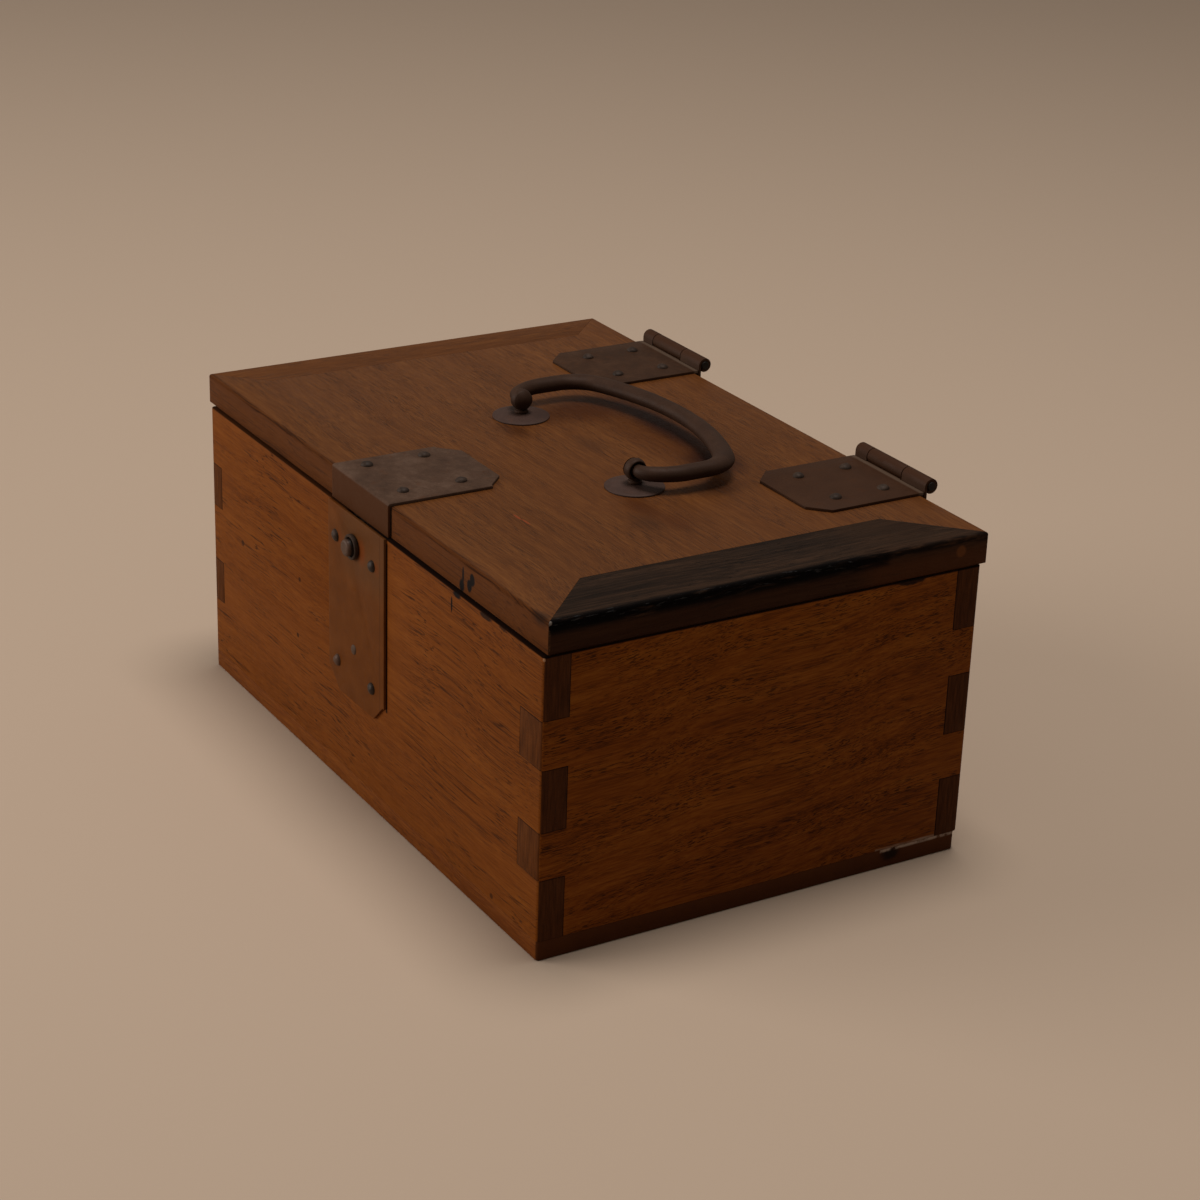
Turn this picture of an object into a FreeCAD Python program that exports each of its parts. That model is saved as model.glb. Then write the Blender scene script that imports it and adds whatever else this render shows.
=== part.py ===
import FreeCAD, Part
import math
import os
import re
import Sketcher

# Stamp box: a finger-jointed wooden box with a hinged lid, a drop handle and a push-button latch.
# Millimetres. X runs along the box, Y from front to back, Z up; the origin is the middle of the underside.

SIZES = {
    # box
    "box_length": 236,
    "box_depth": 154.5,
    "wall_height": 92,
    "front_thickness": 9,
    "back_thickness": 9,
    "right_thickness": 13,
    "left_thickness": 8,
    "end_finger": 15.6,          # height of each finger of the end boards
    "corner_radius": 1.2,
    "bottom_thickness": 6.5,
    "bottom_shrinkage": 1.0,     # the bottom board stops this far short of the back
    # lid
    "lid_thickness": 10.2,
    "lid_over_left": 4.4,        # how far the lid stands past each face of the box:
    "lid_over_right": -0.4,      # it sits a little to the left
    "lid_over_front": -1.45,     # and a little behind
    "lid_over_back": 1.95,
    "lid_gap": 0.3,
    "lid_edge_radius": 0.8,
    "end_strip_right": 24,
    "end_strip_left": 16,
    "peg_radius": 1.6,
    "peg_length": 15,
    "peg_from_back": 10,
    "peg_drop": 4.6,             # below the top of the lid
    # sheet iron
    "sheet": 1.0,
    "corner_clip": 6.2,
    "corner_step": 1.1,
    "hole_clearance": 0.1,
    # nails
    "nail_head": 1.9,
    "nail_head_height": 0.9,
    "nail_shank": 0.9,
    "nail_length": 8,
    # strap, lock plate and their nails
    "lock_x": -2.5,
    "plate_x": -1.0,
    "plate_width": 40,
    "plate_nails_x": -2.1,
    "strap_reach": 42,
    "plate_drop": 64.5,
    "plate_nail_spread": 12.8,
    "strap_nail_front": 8.5,
    "strap_nail_back": 28.8,
    "plate_nail_top": 11.3,
    "plate_nail_bottom": 54.2,
    # button, collar, latch and striker
    "button_drop": 10.1,         # below the top of the walls
    "button_radius": 2.8,
    "button_reach": 3.4,         # in front of the lock plate
    "button_rounding": 0.9,
    "button_clearance": 0.35,
    "collar_radius": 4.2,
    "collar_height": 1.5,
    "collar_rounding": 0.4,
    "rivet_drop": 45.9,
    "rivet_head": 1.6,
    "rivet_head_height": 0.5,
    "rivet_shank": 1.1,
    "pocket_width": 14,
    "pocket_depth": 6.8,
    "pocket_below_rivet": 6,
    "striker_setback": 2.0,      # behind the front of the box
    "striker_thickness": 1.2,
    "striker_width": 12,
    "striker_reach": 14,
    "striker_drop": 6.6,
    "window_width": 7.6,
    "window_height": 2.7,
    "window_above_tip": 2.1,
    "striker_rivet": 1.1,
    "striker_rivet_length": 6.5,
    "arm_gap": 0.4,
    "arm_thickness": 0.8,
    "arm_width": 9,
    "arm_top_gap": 1.2,
    "arm_foot": 4.1,
    "arm_hole_clearance": 0.45,
    "nose_width": 6.4,
    "nose_gap": 0.3,
    "nose_overreach": 0.35,
    "nose_tip_height": 0.6,
    # hinges
    "hinge_from_end": 53.3,      # from the end of the lid to the middle of the hinge
    "hinge_width": 38,
    "leaf_reach": 40.4,
    "leaf_drop": 40,
    "leaf_nail_spread": 10.4,
    "leaf_nail_front": 13.2,
    "leaf_nail_back": 31.6,
    "box_nail_top": 10,
    "box_nail_bottom": 30,
    "hinge_setback": 3.6,        # from the lid's back edge to the pin
    "pin_radius": 1.45,
    "pin_clearance": 0.05,
    "pin_overhang": 0.4,
    "left_knuckle": 6.5,
    "right_knuckle": 12.7,
    "knuckle_gap": 0.3,
    "crank_height": 4,
    # handle
    "handle_y": 1.0,
    "eye_spacing": 74,
    "eye_height": 6.0,           # of the eye's middle above the lid
    "eye_radius": 3.6,
    "eye_width": 3.4,
    "eye_rounding": 0.6,
    "shank_radius": 1.7,
    "slit": 0.4,
    "leg_length": 9,
    "leg_width": 2.4,
    "leg_thickness": 1.2,
    "rosette_radius": 9.7,
    "rosette_edge": 0.5,
    "rosette_dome": 1.0,
    "rod_end": 2.1,              # radius in the eyes
    "rod_middle": 2.9,           # half the width between the shoulders
    "rod_shoulder": 3.7,         # half the width at the shoulders
    "rod_height": 2.6,           # half the thickness away from the eyes
    "rod_clearance": 0.3,
    "stub_head_gap": 0.15,
    "stub_head_radius": 3.3,
    "stub_head_height": 1.5,
    "stub_overhang": 0.4,
    "bend_start": 0.2,
    "bend_radius": 5,
    "bend_angle": 51,
    "side_radius": 17,
    "side_length": 7.4,
    "corner_turn_radius": 13,
    "corner_turn_angle": 65,
    "section_spacing": 2.8,
}

# Places and sizes that follow from the driving ones.
PLACES = {
    "box_right": "box_length / 2",
    "box_left": "-box_length / 2",
    "box_front": "-box_depth / 2",
    "box_back": "box_depth / 2",
    "wall_top": "bottom_thickness + wall_height",
    "inner_right": "box_right - right_thickness",
    "inner_left": "box_left + left_thickness",
    "inner_front": "box_front + front_thickness",
    "inner_back": "box_back - back_thickness",
    "long_finger": "(wall_height - 2 * end_finger) / 3",
    "finger_a": "bottom_thickness + long_finger",
    "finger_b": "finger_a + end_finger",
    "finger_c": "finger_b + long_finger",
    "finger_d": "finger_c + end_finger",
    "lid_bottom": "wall_top + lid_gap",
    "lid_top": "lid_bottom + lid_thickness",
    "lid_left": "box_left - lid_over_left",
    "lid_right": "box_right + lid_over_right",
    "lid_front": "box_front - lid_over_front",
    "lid_back": "box_back + lid_over_back",
    "sheet_top": "lid_top + sheet",
    "plate_left": "plate_x - plate_width / 2",
    "plate_right": "plate_x + plate_width / 2",
    "strap_back": "lid_front + strap_reach",
    "plate_face": "box_front - sheet",
    "plate_bottom": "wall_top - plate_drop",
    "button_z": "wall_top - button_drop",
    "button_hole": "button_radius + button_clearance",
    "rivet_z": "wall_top - rivet_drop",
    "pocket_bottom": "rivet_z - pocket_below_rivet",
    "striker_front": "box_front + striker_setback",
    "striker_back": "striker_front + striker_thickness",
    "striker_tip": "lid_bottom - striker_drop",
    "window_bottom": "striker_tip + window_above_tip",
    "arm_front": "striker_back + arm_gap",
    "arm_back": "arm_front + arm_thickness",
    "arm_top": "lid_bottom - arm_top_gap",
    "nose_bottom": "window_bottom + nose_gap",
    "nose_top": "window_bottom + window_height - nose_gap",
    "nose_front": "striker_front - nose_overreach",
    "bore": "pin_radius + pin_clearance",
    "barrel": "bore + sheet",
    "axis_y": "lid_back + hinge_setback",
    "axis_z": "lid_top + barrel",
    "leaf_front": "lid_back - leaf_reach",
    "leaf_end": "axis_y - barrel - knuckle_gap",
    "back_sheet": "axis_y - barrel",
    "crank_bottom": "wall_top - crank_height",
    "leaf_bottom": "wall_top - leaf_drop",
    "knuckle_from": "left_knuckle + knuckle_gap / 2",
    "knuckle_to": "hinge_width - right_knuckle - knuckle_gap / 2",
    "eye_z": "lid_top + eye_height",
    "eye_bore": "rod_end + rod_clearance",
}

doc = FreeCAD.newDocument("stamp_box")
sheet = doc.addObject("Spreadsheet::Sheet", "Sizes")
for row, (alias, number) in enumerate(SIZES.items(), start=1):
    sheet.set(f"A{row}", alias)
    sheet.set(f"B{row}", str(number))
    sheet.setAlias(f"B{row}", alias)
doc.recompute()


def formula(text):
    """The same formula with each name pointed at its cell or its worked-out value."""
    def cell(match):
        word = match.group(0)
        if word in SIZES:
            return "Sizes." + word
        return "Places." + word if word in PLACES else word
    return re.sub(r"[a-z][a-z_]*", cell, str(text))


def value(text):
    return float(sheet.evalExpression(formula(text)))


places = doc.addObject("App::VarSet", "Places")
for name in PLACES:
    places.addProperty("App::PropertyFloat", name, "Places", "")
for name, text in PLACES.items():
    places.setExpression(name, formula(text))
doc.recompute()

pieces = []


def piece(obj, label=None):
    obj.Label = label or obj.Name
    pieces.append(obj)
    return obj


def bind(obj, **formulas):
    """Tie properties to the sheet: x, y and z are the placement, other names are the object's own."""
    for name, text in formulas.items():
        path = f".Placement.Base.{name}" if name in "xyz" else name
        obj.setExpression(path, formula(text))
    return obj


# Sketches and features of a body

def body(name, **place):
    return bind(piece(doc.addObject("PartDesign::Body", name)), **place)


def draw(owner, name, plane, outlines=(), circles=(), offset=None):
    """A sketch of closed outlines and circles, every point and radius tied to the sheet."""
    sketch = owner.newObject("Sketcher::SketchObject", name)
    face = [part for part in owner.Origin.OriginFeatures if part.Role == plane][0]
    sketch.AttachmentSupport = (face, [""])
    sketch.MapMode = "FlatFace"
    if offset is not None:
        sketch.setExpression("AttachmentOffset.Base.z", formula(offset))

    def tie(kind, first, second, text, number):
        index = sketch.addConstraint(Sketcher.Constraint(kind, *first, *second, number))
        sketch.setExpression(f"Constraints[{index}]", formula(text))

    for outline in outlines:
        start = sketch.GeometryCount
        corners = [FreeCAD.Vector(value(x), value(y), 0) for x, y in outline]
        for here, there in zip(corners, corners[1:] + corners[:1]):
            sketch.addGeometry(Part.LineSegment(here, there))
        for k, (x, y) in enumerate(outline):
            line = start + k
            after = start + (k + 1) % len(outline)
            sketch.addConstraint(Sketcher.Constraint("Coincident", line, 2, after, 1))
            tie("DistanceX", (-1, 1), (line, 1), x, corners[k].x)
            tie("DistanceY", (-1, 1), (line, 1), y, corners[k].y)
    for x, y, radius in circles:
        centre = FreeCAD.Vector(value(x), value(y), 0)
        ring = sketch.addGeometry(Part.Circle(centre, FreeCAD.Vector(0, 0, 1), value(radius)))
        tie("DistanceX", (-1, 1), (ring, 3), x, centre.x)
        tie("DistanceY", (-1, 1), (ring, 3), y, centre.y)
        index = sketch.addConstraint(Sketcher.Constraint("Radius", ring, value(radius)))
        sketch.setExpression(f"Constraints[{index}]", formula(radius))
    return sketch


def pad(owner, sketch, length, backwards=False, midplane=False):
    feature = owner.newObject("PartDesign::Pad", sketch.Name + "_pad")
    feature.Profile = sketch
    feature.Reversed = backwards
    feature.SideType = "Symmetric" if midplane else "One side"
    return bind(feature, Length=length)


def pocket(owner, sketch, depth=None, backwards=False):
    """Cut a sketch into the body: to a depth, or right through both ways."""
    feature = owner.newObject("PartDesign::Pocket", sketch.Name + "_pocket")
    feature.Profile = sketch
    feature.Reversed = backwards
    if depth is None:
        feature.Type = "ThroughAll"
        feature.SideType = "Symmetric"
        return feature
    return bind(feature, Length=depth)


def round_edges(owner, chosen, radius):
    """Fillet the edges of the body's last feature that the test picks by their two ends."""
    doc.recompute()
    last = owner.Tip
    names = []
    for number, edge in enumerate(last.Shape.Edges, start=1):
        ends = [vertex.Point for vertex in edge.Vertexes]
        if chosen(edge, ends):
            names.append(f"Edge{number}")
    feature = owner.newObject("PartDesign::Fillet", owner.Name + "_round")
    feature.Base = (last, names)
    return bind(feature, Radius=radius)


def at(ends, axis, *texts):
    """Both ends of an edge lie at one of the given places along an axis."""
    spots = [value(text) for text in texts]
    return any(all(abs(end[axis] - spot) < 1e-4 for end in ends) for spot in spots)


# Primitives and booleans

TURNS = {"x": FreeCAD.Rotation(FreeCAD.Vector(0, 1, 0), 90),
         "-x": FreeCAD.Rotation(FreeCAD.Vector(0, 1, 0), -90),
         "y": FreeCAD.Rotation(FreeCAD.Vector(1, 0, 0), 90),
         "-y": FreeCAD.Rotation(FreeCAD.Vector(1, 0, 0), -90),
         "z": FreeCAD.Rotation(),
         "-z": FreeCAD.Rotation(FreeCAD.Vector(1, 0, 0), 180)}


def cylinder(name, radius, height, way="z", **place):
    """A cylinder that starts at its place and runs the given way; "y" runs towards the front."""
    obj = doc.addObject("Part::Cylinder", name)
    obj.Placement.Rotation = TURNS[way]
    return bind(obj, Radius=radius, Height=height, **place)


def cap(name, radius, height, way="z", **place):
    """A low dome whose flat side is at its place and whose top points the given way."""
    ball = f"(({radius})^2 + ({height})^2) / (2 * ({height}))"
    sunk = f"({ball} - ({height}))"
    shift = {"x": ("x", "-"), "-x": ("x", "+"), "z": ("z", "-"), "-z": ("z", "+"),
             "y": ("y", "+"), "-y": ("y", "-")}[way]
    place[shift[0]] = f"({place[shift[0]]}) {shift[1]} {sunk}"
    obj = doc.addObject("Part::Sphere", name)
    obj.Placement.Rotation = TURNS[way]
    return bind(obj, Radius=ball, Angle1=f"asin(1 - ({height}) / ({ball}))", **place)


def join(name, shapes):
    obj = doc.addObject("Part::MultiFuse", name)
    obj.Shapes = shapes
    return obj


def subtract(name, base, tools):
    obj = doc.addObject("Part::Cut", name)
    obj.Base = base
    obj.Tool = tools[0] if len(tools) == 1 else join(name + "_tools", tools)
    return obj


OPPOSITE = {"z": "-z", "-z": "z", "y": "-y", "-y": "y"}


def nails(name, spots, way, head="nail_head", head_height="nail_head_height", shank="nail_shank",
          length="nail_length"):
    """Domed nails with their heads on a face, one solid each, the shanks running into the wood."""
    parts = []
    for number, spot in enumerate(spots):
        place = dict(zip("xyz", spot))
        parts.append(cap(f"{name}_head{number}", head, head_height, way, **place))
        parts.append(cylinder(f"{name}_shank{number}", shank, length, OPPOSITE[way], **place))
    return piece(join(name, parts))


# The box: four boards with fingers at their ends, on a bottom board

def long_board(name, face, thickness, backwards, right, left):
    """The front or the back board: three fingers each end, and gaps for the end boards' fingers."""
    owner = body(name, y=face)
    levels = ["bottom_thickness", "finger_a", "finger_b", "finger_c", "finger_d", "wall_top"]
    outer = [("box_right", "box_left"), (right, left)]
    right_side = []
    left_side = []
    for k, (low, high) in enumerate(zip(levels, levels[1:])):
        edge_right, edge_left = outer[k % 2]
        right_side += [(edge_right, low), (edge_right, high)]
        left_side += [(edge_left, low), (edge_left, high)]
    outline = draw(owner, name + "_outline", "XZ_Plane", [right_side + left_side[::-1]])
    pad(owner, outline, thickness, backwards=backwards)
    return owner


def upright(edge):
    return abs(edge.tangentAt(edge.FirstParameter).z) > 0.99


def end_board(name, inner, outer):
    """An end board between the long ones, with two fingers at each end through to their faces."""
    owner = body(name)
    levels = ["bottom_thickness", "finger_a", "finger_b", "finger_c", "finger_d", "wall_top"]
    reach = [("inner_front", "inner_back"), ("box_front", "box_back")]
    front_side = []
    back_side = []
    for k, (low, high) in enumerate(zip(levels, levels[1:])):
        edge_front, edge_back = reach[k % 2]
        front_side += [(edge_front, low), (edge_front, high)]
        back_side += [(edge_back, low), (edge_back, high)]
    outline = draw(owner, name + "_outline", "YZ_Plane", [back_side + front_side[::-1]],
                   offset=f"min({inner}; {outer})")
    pad(owner, outline, f"abs({outer} - {inner})")
    round_edges(owner, lambda edge, ends: upright(edge) and at(ends, 0, outer)
                and at(ends, 1, "box_front", "box_back"), "corner_radius")
    return owner


end_board("right_end_board", "inner_right", "box_right")
end_board("left_end_board", "inner_left", "box_left")

back_board = long_board("back_board", "box_back", "back_thickness", False, "inner_right", "inner_left")
front_board = long_board("front_board", "box_front", "front_thickness", True, "inner_right", "inner_left")
pocket_half = "pocket_width / 2"
slot = draw(front_board, "latch_pocket", "XZ_Plane", [[
    (f"lock_x - {pocket_half}", "pocket_bottom"), (f"lock_x + {pocket_half}", "pocket_bottom"),
    (f"lock_x + {pocket_half}", "wall_top + 1"), (f"lock_x - {pocket_half}", "wall_top + 1")]])
pocket(front_board, slot, "pocket_depth")
for board in (front_board, back_board):
    round_edges(board, lambda edge, ends: upright(edge) and at(ends, 0, "box_right", "box_left")
                and at(ends, 1, "0"), "corner_radius")

bottom = body("bottom_board")
footprint = draw(bottom, "bottom_outline", "XY_Plane", [[
    ("box_left", "box_front"), ("box_right", "box_front"),
    ("box_right", "box_back - bottom_shrinkage"), ("box_left", "box_back - bottom_shrinkage")]])
pad(bottom, footprint, "bottom_thickness")
round_edges(bottom, lambda edge, ends: upright(edge), "corner_radius")

# The lid: a panel with a mitred strip across each end, and a peg through the right strip


def peg_hole(owner):
    """The bore for the peg, from the right end of the lid inwards."""
    hole = draw(owner, owner.Name + "_peg_hole", "YZ_Plane", circles=[
        ("lid_back - peg_from_back", "lid_thickness - peg_drop", "peg_radius")], offset="lid_right")
    pocket(owner, hole, "peg_length")


mitre_right = "lid_right - end_strip_right"
mitre_left = "lid_left + end_strip_left"
lid = body("lid_panel", z="lid_bottom")
panel = draw(lid, "panel_outline", "XY_Plane", [[
    ("lid_left", "lid_front"), ("lid_right", "lid_front"),
    (mitre_right, "lid_front + end_strip_right"), (mitre_right, "lid_back - end_strip_right"),
    ("lid_right", "lid_back"), ("lid_left", "lid_back"),
    (mitre_left, "lid_back - end_strip_left"), (mitre_left, "lid_front + end_strip_left")]])
pad(lid, panel, "lid_thickness")
strike_half = "striker_width / 2"
recess = draw(lid, "striker_recess", "XY_Plane", [[
    (f"lock_x - {strike_half}", "lid_front - 1"), (f"lock_x + {strike_half}", "lid_front - 1"),
    (f"lock_x + {strike_half}", "striker_front + striker_reach"),
    (f"lock_x - {strike_half}", "striker_front + striker_reach")]])
pocket(lid, recess, "striker_thickness", backwards=True)
shanks = draw(lid, "eye_holes", "XY_Plane", circles=[
    (f"{side} * eye_spacing / 2", "handle_y", "shank_radius + hole_clearance") for side in ("-1", "1")])
pocket(lid, shanks)
peg_hole(lid)
round_edges(lid, lambda edge, ends: at(ends, 2, "lid_thickness") and at(ends, 1, "lid_front", "lid_back"),
            "lid_edge_radius")

for name, outer, inner, width in (("lid_end_right", "lid_right", mitre_right, "end_strip_right"),
                                  ("lid_end_left", "lid_left", mitre_left, "end_strip_left")):
    strip = body(name, z="lid_bottom")
    trapezium = draw(strip, name + "_outline", "XY_Plane", [[
        (outer, "lid_front"), (outer, "lid_back"),
        (inner, f"lid_back - {width}"), (inner, f"lid_front + {width}")]])
    pad(strip, trapezium, "lid_thickness")
    if name == "lid_end_right":
        peg_hole(strip)
    round_edges(strip, lambda edge, ends: at(ends, 2, "lid_thickness") and at(ends, 0, outer),
                "lid_edge_radius")

piece(cylinder("lid_end_peg", "peg_radius", "peg_length", "x", x="lid_right - peg_length",
               y="lid_back - peg_from_back", z="lid_top - peg_drop"))

# The strap: on the lid, over its front edge and down to the seam

strap = body("hasp_strap", z="lid_top")
nail_columns = ("plate_nails_x - plate_nail_spread", "plate_nails_x + plate_nail_spread")
strap_rows = ("lid_front + strap_nail_front", "lid_front + strap_nail_back")
strap_outline = draw(strap, "strap_outline", "XY_Plane", [[
    ("plate_left", "lid_front - sheet"), ("plate_right", "lid_front - sheet"),
    ("plate_right", "strap_back - corner_clip"), ("plate_right - corner_step", "strap_back - corner_clip"),
    ("plate_right - corner_clip", "strap_back"), ("plate_left + corner_clip", "strap_back"),
    ("plate_left + corner_step", "strap_back - corner_clip"), ("plate_left", "strap_back - corner_clip")]],
    circles=[(x, y, "nail_shank + hole_clearance") for x in nail_columns for y in strap_rows])
pad(strap, strap_outline, "sheet")
fold = draw(strap, "strap_fold", "XZ_Plane", [[
    ("plate_left", "-lid_thickness"), ("plate_right", "-lid_thickness"),
    ("plate_right", "sheet"), ("plate_left", "sheet")]], offset="-lid_front")
pad(strap, fold, "sheet")
round_edges(strap, lambda edge, ends: at(ends, 2, "sheet") and at(ends, 1, "lid_front - sheet"),
            "sheet * 0.9")
nails("hasp_nails", [(x, y, "sheet_top") for x in nail_columns for y in strap_rows], "z")

# The striker: an angle let into the underside of the lid, its tongue pierced for the latch

striker = body("lid_striker", x="lock_x")
angle = draw(striker, "striker_side", "YZ_Plane", [[
    ("striker_front", "striker_tip"), ("striker_back", "striker_tip"), ("striker_back", "lid_bottom"),
    ("striker_front + striker_reach", "lid_bottom"),
    ("striker_front + striker_reach", "lid_bottom + striker_thickness"),
    ("striker_front", "lid_bottom + striker_thickness")]])
pad(striker, angle, "striker_width", midplane=True)
window = draw(striker, "striker_window", "XZ_Plane", [[
    ("-window_width / 2", "window_bottom"), ("window_width / 2", "window_bottom"),
    ("window_width / 2", "window_bottom + window_height"),
    ("-window_width / 2", "window_bottom + window_height")]])
pocket(striker, window)
rivet_rows = ("striker_front + striker_reach * 0.45", "striker_front + striker_reach * 0.8")
rivet_holes = draw(striker, "striker_holes", "XY_Plane", circles=[
    ("0", y, "striker_rivet + hole_clearance") for y in rivet_rows])
pocket(striker, rivet_holes)
piece(join("striker_rivets", [
    cylinder(f"striker_rivet{k}", "striker_rivet", "striker_rivet_length", x="lock_x", y=y, z="lid_bottom")
    for k, y in enumerate(rivet_rows)]))

# The lock plate on the front, with its nails, collar and the rivet that holds the latch's foot

plate = body("lock_plate", y="box_front")
plate_rows = ("wall_top - plate_nail_top", "wall_top - plate_nail_bottom")
plate_outline = draw(plate, "plate_outline", "XZ_Plane", [[
    ("plate_left", "wall_top"), ("plate_right", "wall_top"),
    ("plate_right", "plate_bottom + corner_clip"),
    ("plate_right - corner_step", "plate_bottom + corner_clip"),
    ("plate_right - corner_clip", "plate_bottom"), ("plate_left + corner_clip", "plate_bottom"),
    ("plate_left + corner_step", "plate_bottom + corner_clip"),
    ("plate_left", "plate_bottom + corner_clip")]],
    circles=[(x, z, "nail_shank + hole_clearance") for x in nail_columns for z in plate_rows]
    + [("lock_x", "button_z", "button_hole"), ("lock_x", "rivet_z", "rivet_shank + hole_clearance")])
pad(plate, plate_outline, "sheet")
nails("lock_plate_nails", [(x, "plate_face", z) for x in nail_columns for z in plate_rows], "y")
nails("latch_rivet", [("lock_x", "plate_face", "rivet_z")], "y", head="rivet_head",
      head_height="rivet_head_height", shank="rivet_shank",
      length="sheet + front_thickness - 0.3")

collar = body("lock_collar", y="plate_face")
ring = draw(collar, "collar_ring", "XZ_Plane",
            circles=[("lock_x", "button_z", "collar_radius"), ("lock_x", "button_z", "button_hole")])
pad(collar, ring, "collar_height")
round_edges(collar, lambda edge, ends: at(ends, 1, "-collar_height"), "collar_rounding")

# The latch: a spring arm riveted at its foot, carrying the nose and the button

arm = body("latch_spring", x="lock_x")
side = draw(arm, "arm_side", "YZ_Plane", [[
    ("arm_front", "rivet_z - arm_foot"), ("arm_back", "rivet_z - arm_foot"),
    ("arm_back", "arm_top"), ("arm_front", "arm_top")]])
pad(arm, side, "arm_width", midplane=True)
foot_hole = draw(arm, "arm_hole", "XZ_Plane", circles=[
    ("0", "rivet_z", "rivet_shank + arm_hole_clearance")])
pocket(arm, foot_hole)

nose = body("latch_nose", x="lock_x")
wedge = draw(nose, "nose_side", "YZ_Plane", [[
    ("nose_front", "nose_bottom"), ("arm_front", "nose_bottom"), ("arm_front", "nose_top"),
    ("nose_front", "nose_bottom + nose_tip_height")]])
pad(nose, wedge, "nose_width", midplane=True)

button = body("lock_button", y="plate_face - button_reach")
disc = draw(button, "button_disc", "XZ_Plane", circles=[("lock_x", "button_z", "button_radius")])
pad(button, disc, "arm_front - plate_face + button_reach", backwards=True)
round_edges(button, lambda edge, ends: at(ends, 1, "0"), "button_rounding")


# The hinges: a leaf on the lid and one down the back, rolled round a pin behind the lid's edge

def barrel_ring(owner, name, start, length):
    tube = draw(owner, name, "YZ_Plane", circles=[("axis_y", "axis_z", "barrel")], offset=start)
    pad(owner, tube, length)


def bore(owner, name):
    hole = draw(owner, name, "YZ_Plane", circles=[("axis_y", "axis_z", "bore")])
    pocket(owner, hole)


def hinge(name, middle):
    start = f"{middle} - hinge_width / 2"
    columns = [f"hinge_width / 2 {sign} leaf_nail_spread" for sign in "-+"]

    leaf = body(f"{name}_lid_leaf", x=start)
    rows = ["leaf_front + leaf_nail_front", "leaf_front + leaf_nail_back"]
    outline = draw(leaf, f"{name}_lid_outline", "XY_Plane", [[
        ("corner_clip", "leaf_front"), ("hinge_width - corner_clip", "leaf_front"),
        ("hinge_width", "leaf_front + corner_clip"), ("hinge_width", "leaf_end"),
        ("knuckle_to", "leaf_end"), ("knuckle_to", "axis_y"), ("knuckle_from", "axis_y"),
        ("knuckle_from", "leaf_end"), ("0.0", "leaf_end"), ("0.0", "leaf_front + corner_clip")]],
        circles=[(x, y, "nail_shank + hole_clearance") for x in columns for y in rows], offset="lid_top")
    pad(leaf, outline, "sheet")
    barrel_ring(leaf, f"{name}_lid_barrel", "knuckle_from", "knuckle_to - knuckle_from")
    bore(leaf, f"{name}_lid_bore")
    nails(f"{name}_lid_nails", [(f"{start} + {x}", y, "sheet_top") for x in columns for y in rows], "z")

    back = body(f"{name}_box_leaf", x=start)
    profile = draw(back, f"{name}_box_side", "YZ_Plane", [[
        ("back_sheet", "axis_z"), ("back_sheet", "wall_top"), ("box_back", "crank_bottom"),
        ("box_back", "leaf_bottom"), ("box_back + sheet", "leaf_bottom"),
        ("box_back + sheet", "crank_bottom"), ("back_sheet + sheet", "wall_top"),
        ("back_sheet + sheet", "axis_z")]])
    pad(back, profile, "hinge_width")
    levels = ["wall_top - box_nail_top", "wall_top - box_nail_bottom"]
    cuts = draw(back, f"{name}_box_cuts", "XZ_Plane", [
        [("knuckle_from - knuckle_gap", "lid_top - 2 * knuckle_gap"),
         ("knuckle_to + knuckle_gap", "lid_top - 2 * knuckle_gap"),
         ("knuckle_to + knuckle_gap", "axis_z + 1"), ("knuckle_from - knuckle_gap", "axis_z + 1")],
        [("-1", "leaf_bottom - 1"), ("corner_clip", "leaf_bottom - 1"), ("corner_clip", "leaf_bottom"),
         ("0.0", "leaf_bottom + corner_clip"), ("-1", "leaf_bottom + corner_clip")],
        [("hinge_width + 1", "leaf_bottom - 1"), ("hinge_width + 1", "leaf_bottom + corner_clip"),
         ("hinge_width", "leaf_bottom + corner_clip"), ("hinge_width - corner_clip", "leaf_bottom"),
         ("hinge_width - corner_clip", "leaf_bottom - 1")]],
        circles=[(x, z, "nail_shank + hole_clearance") for x in columns for z in levels])
    pocket(back, cuts)
    barrel_ring(back, f"{name}_left_barrel", "0.0", "left_knuckle - knuckle_gap / 2")
    barrel_ring(back, f"{name}_right_barrel", "knuckle_to + knuckle_gap",
                "right_knuckle - knuckle_gap / 2")
    bore(back, f"{name}_box_bore")
    nails(f"{name}_box_nails", [(f"{start} + {x}", "box_back + sheet", z) for x in columns for z in levels],
          "-y")
    piece(cylinder(f"{name}_pin", "pin_radius", "hinge_width + 2 * pin_overhang", "x",
                   x=f"{start} - pin_overhang", y="axis_y", z="axis_z"))


hinge("hinge_left", "lid_left + hinge_from_end")
hinge("hinge_right", "lid_right - hinge_from_end")


# The handle: two split eyes through domed rosettes, and a bail that turns in them

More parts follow.
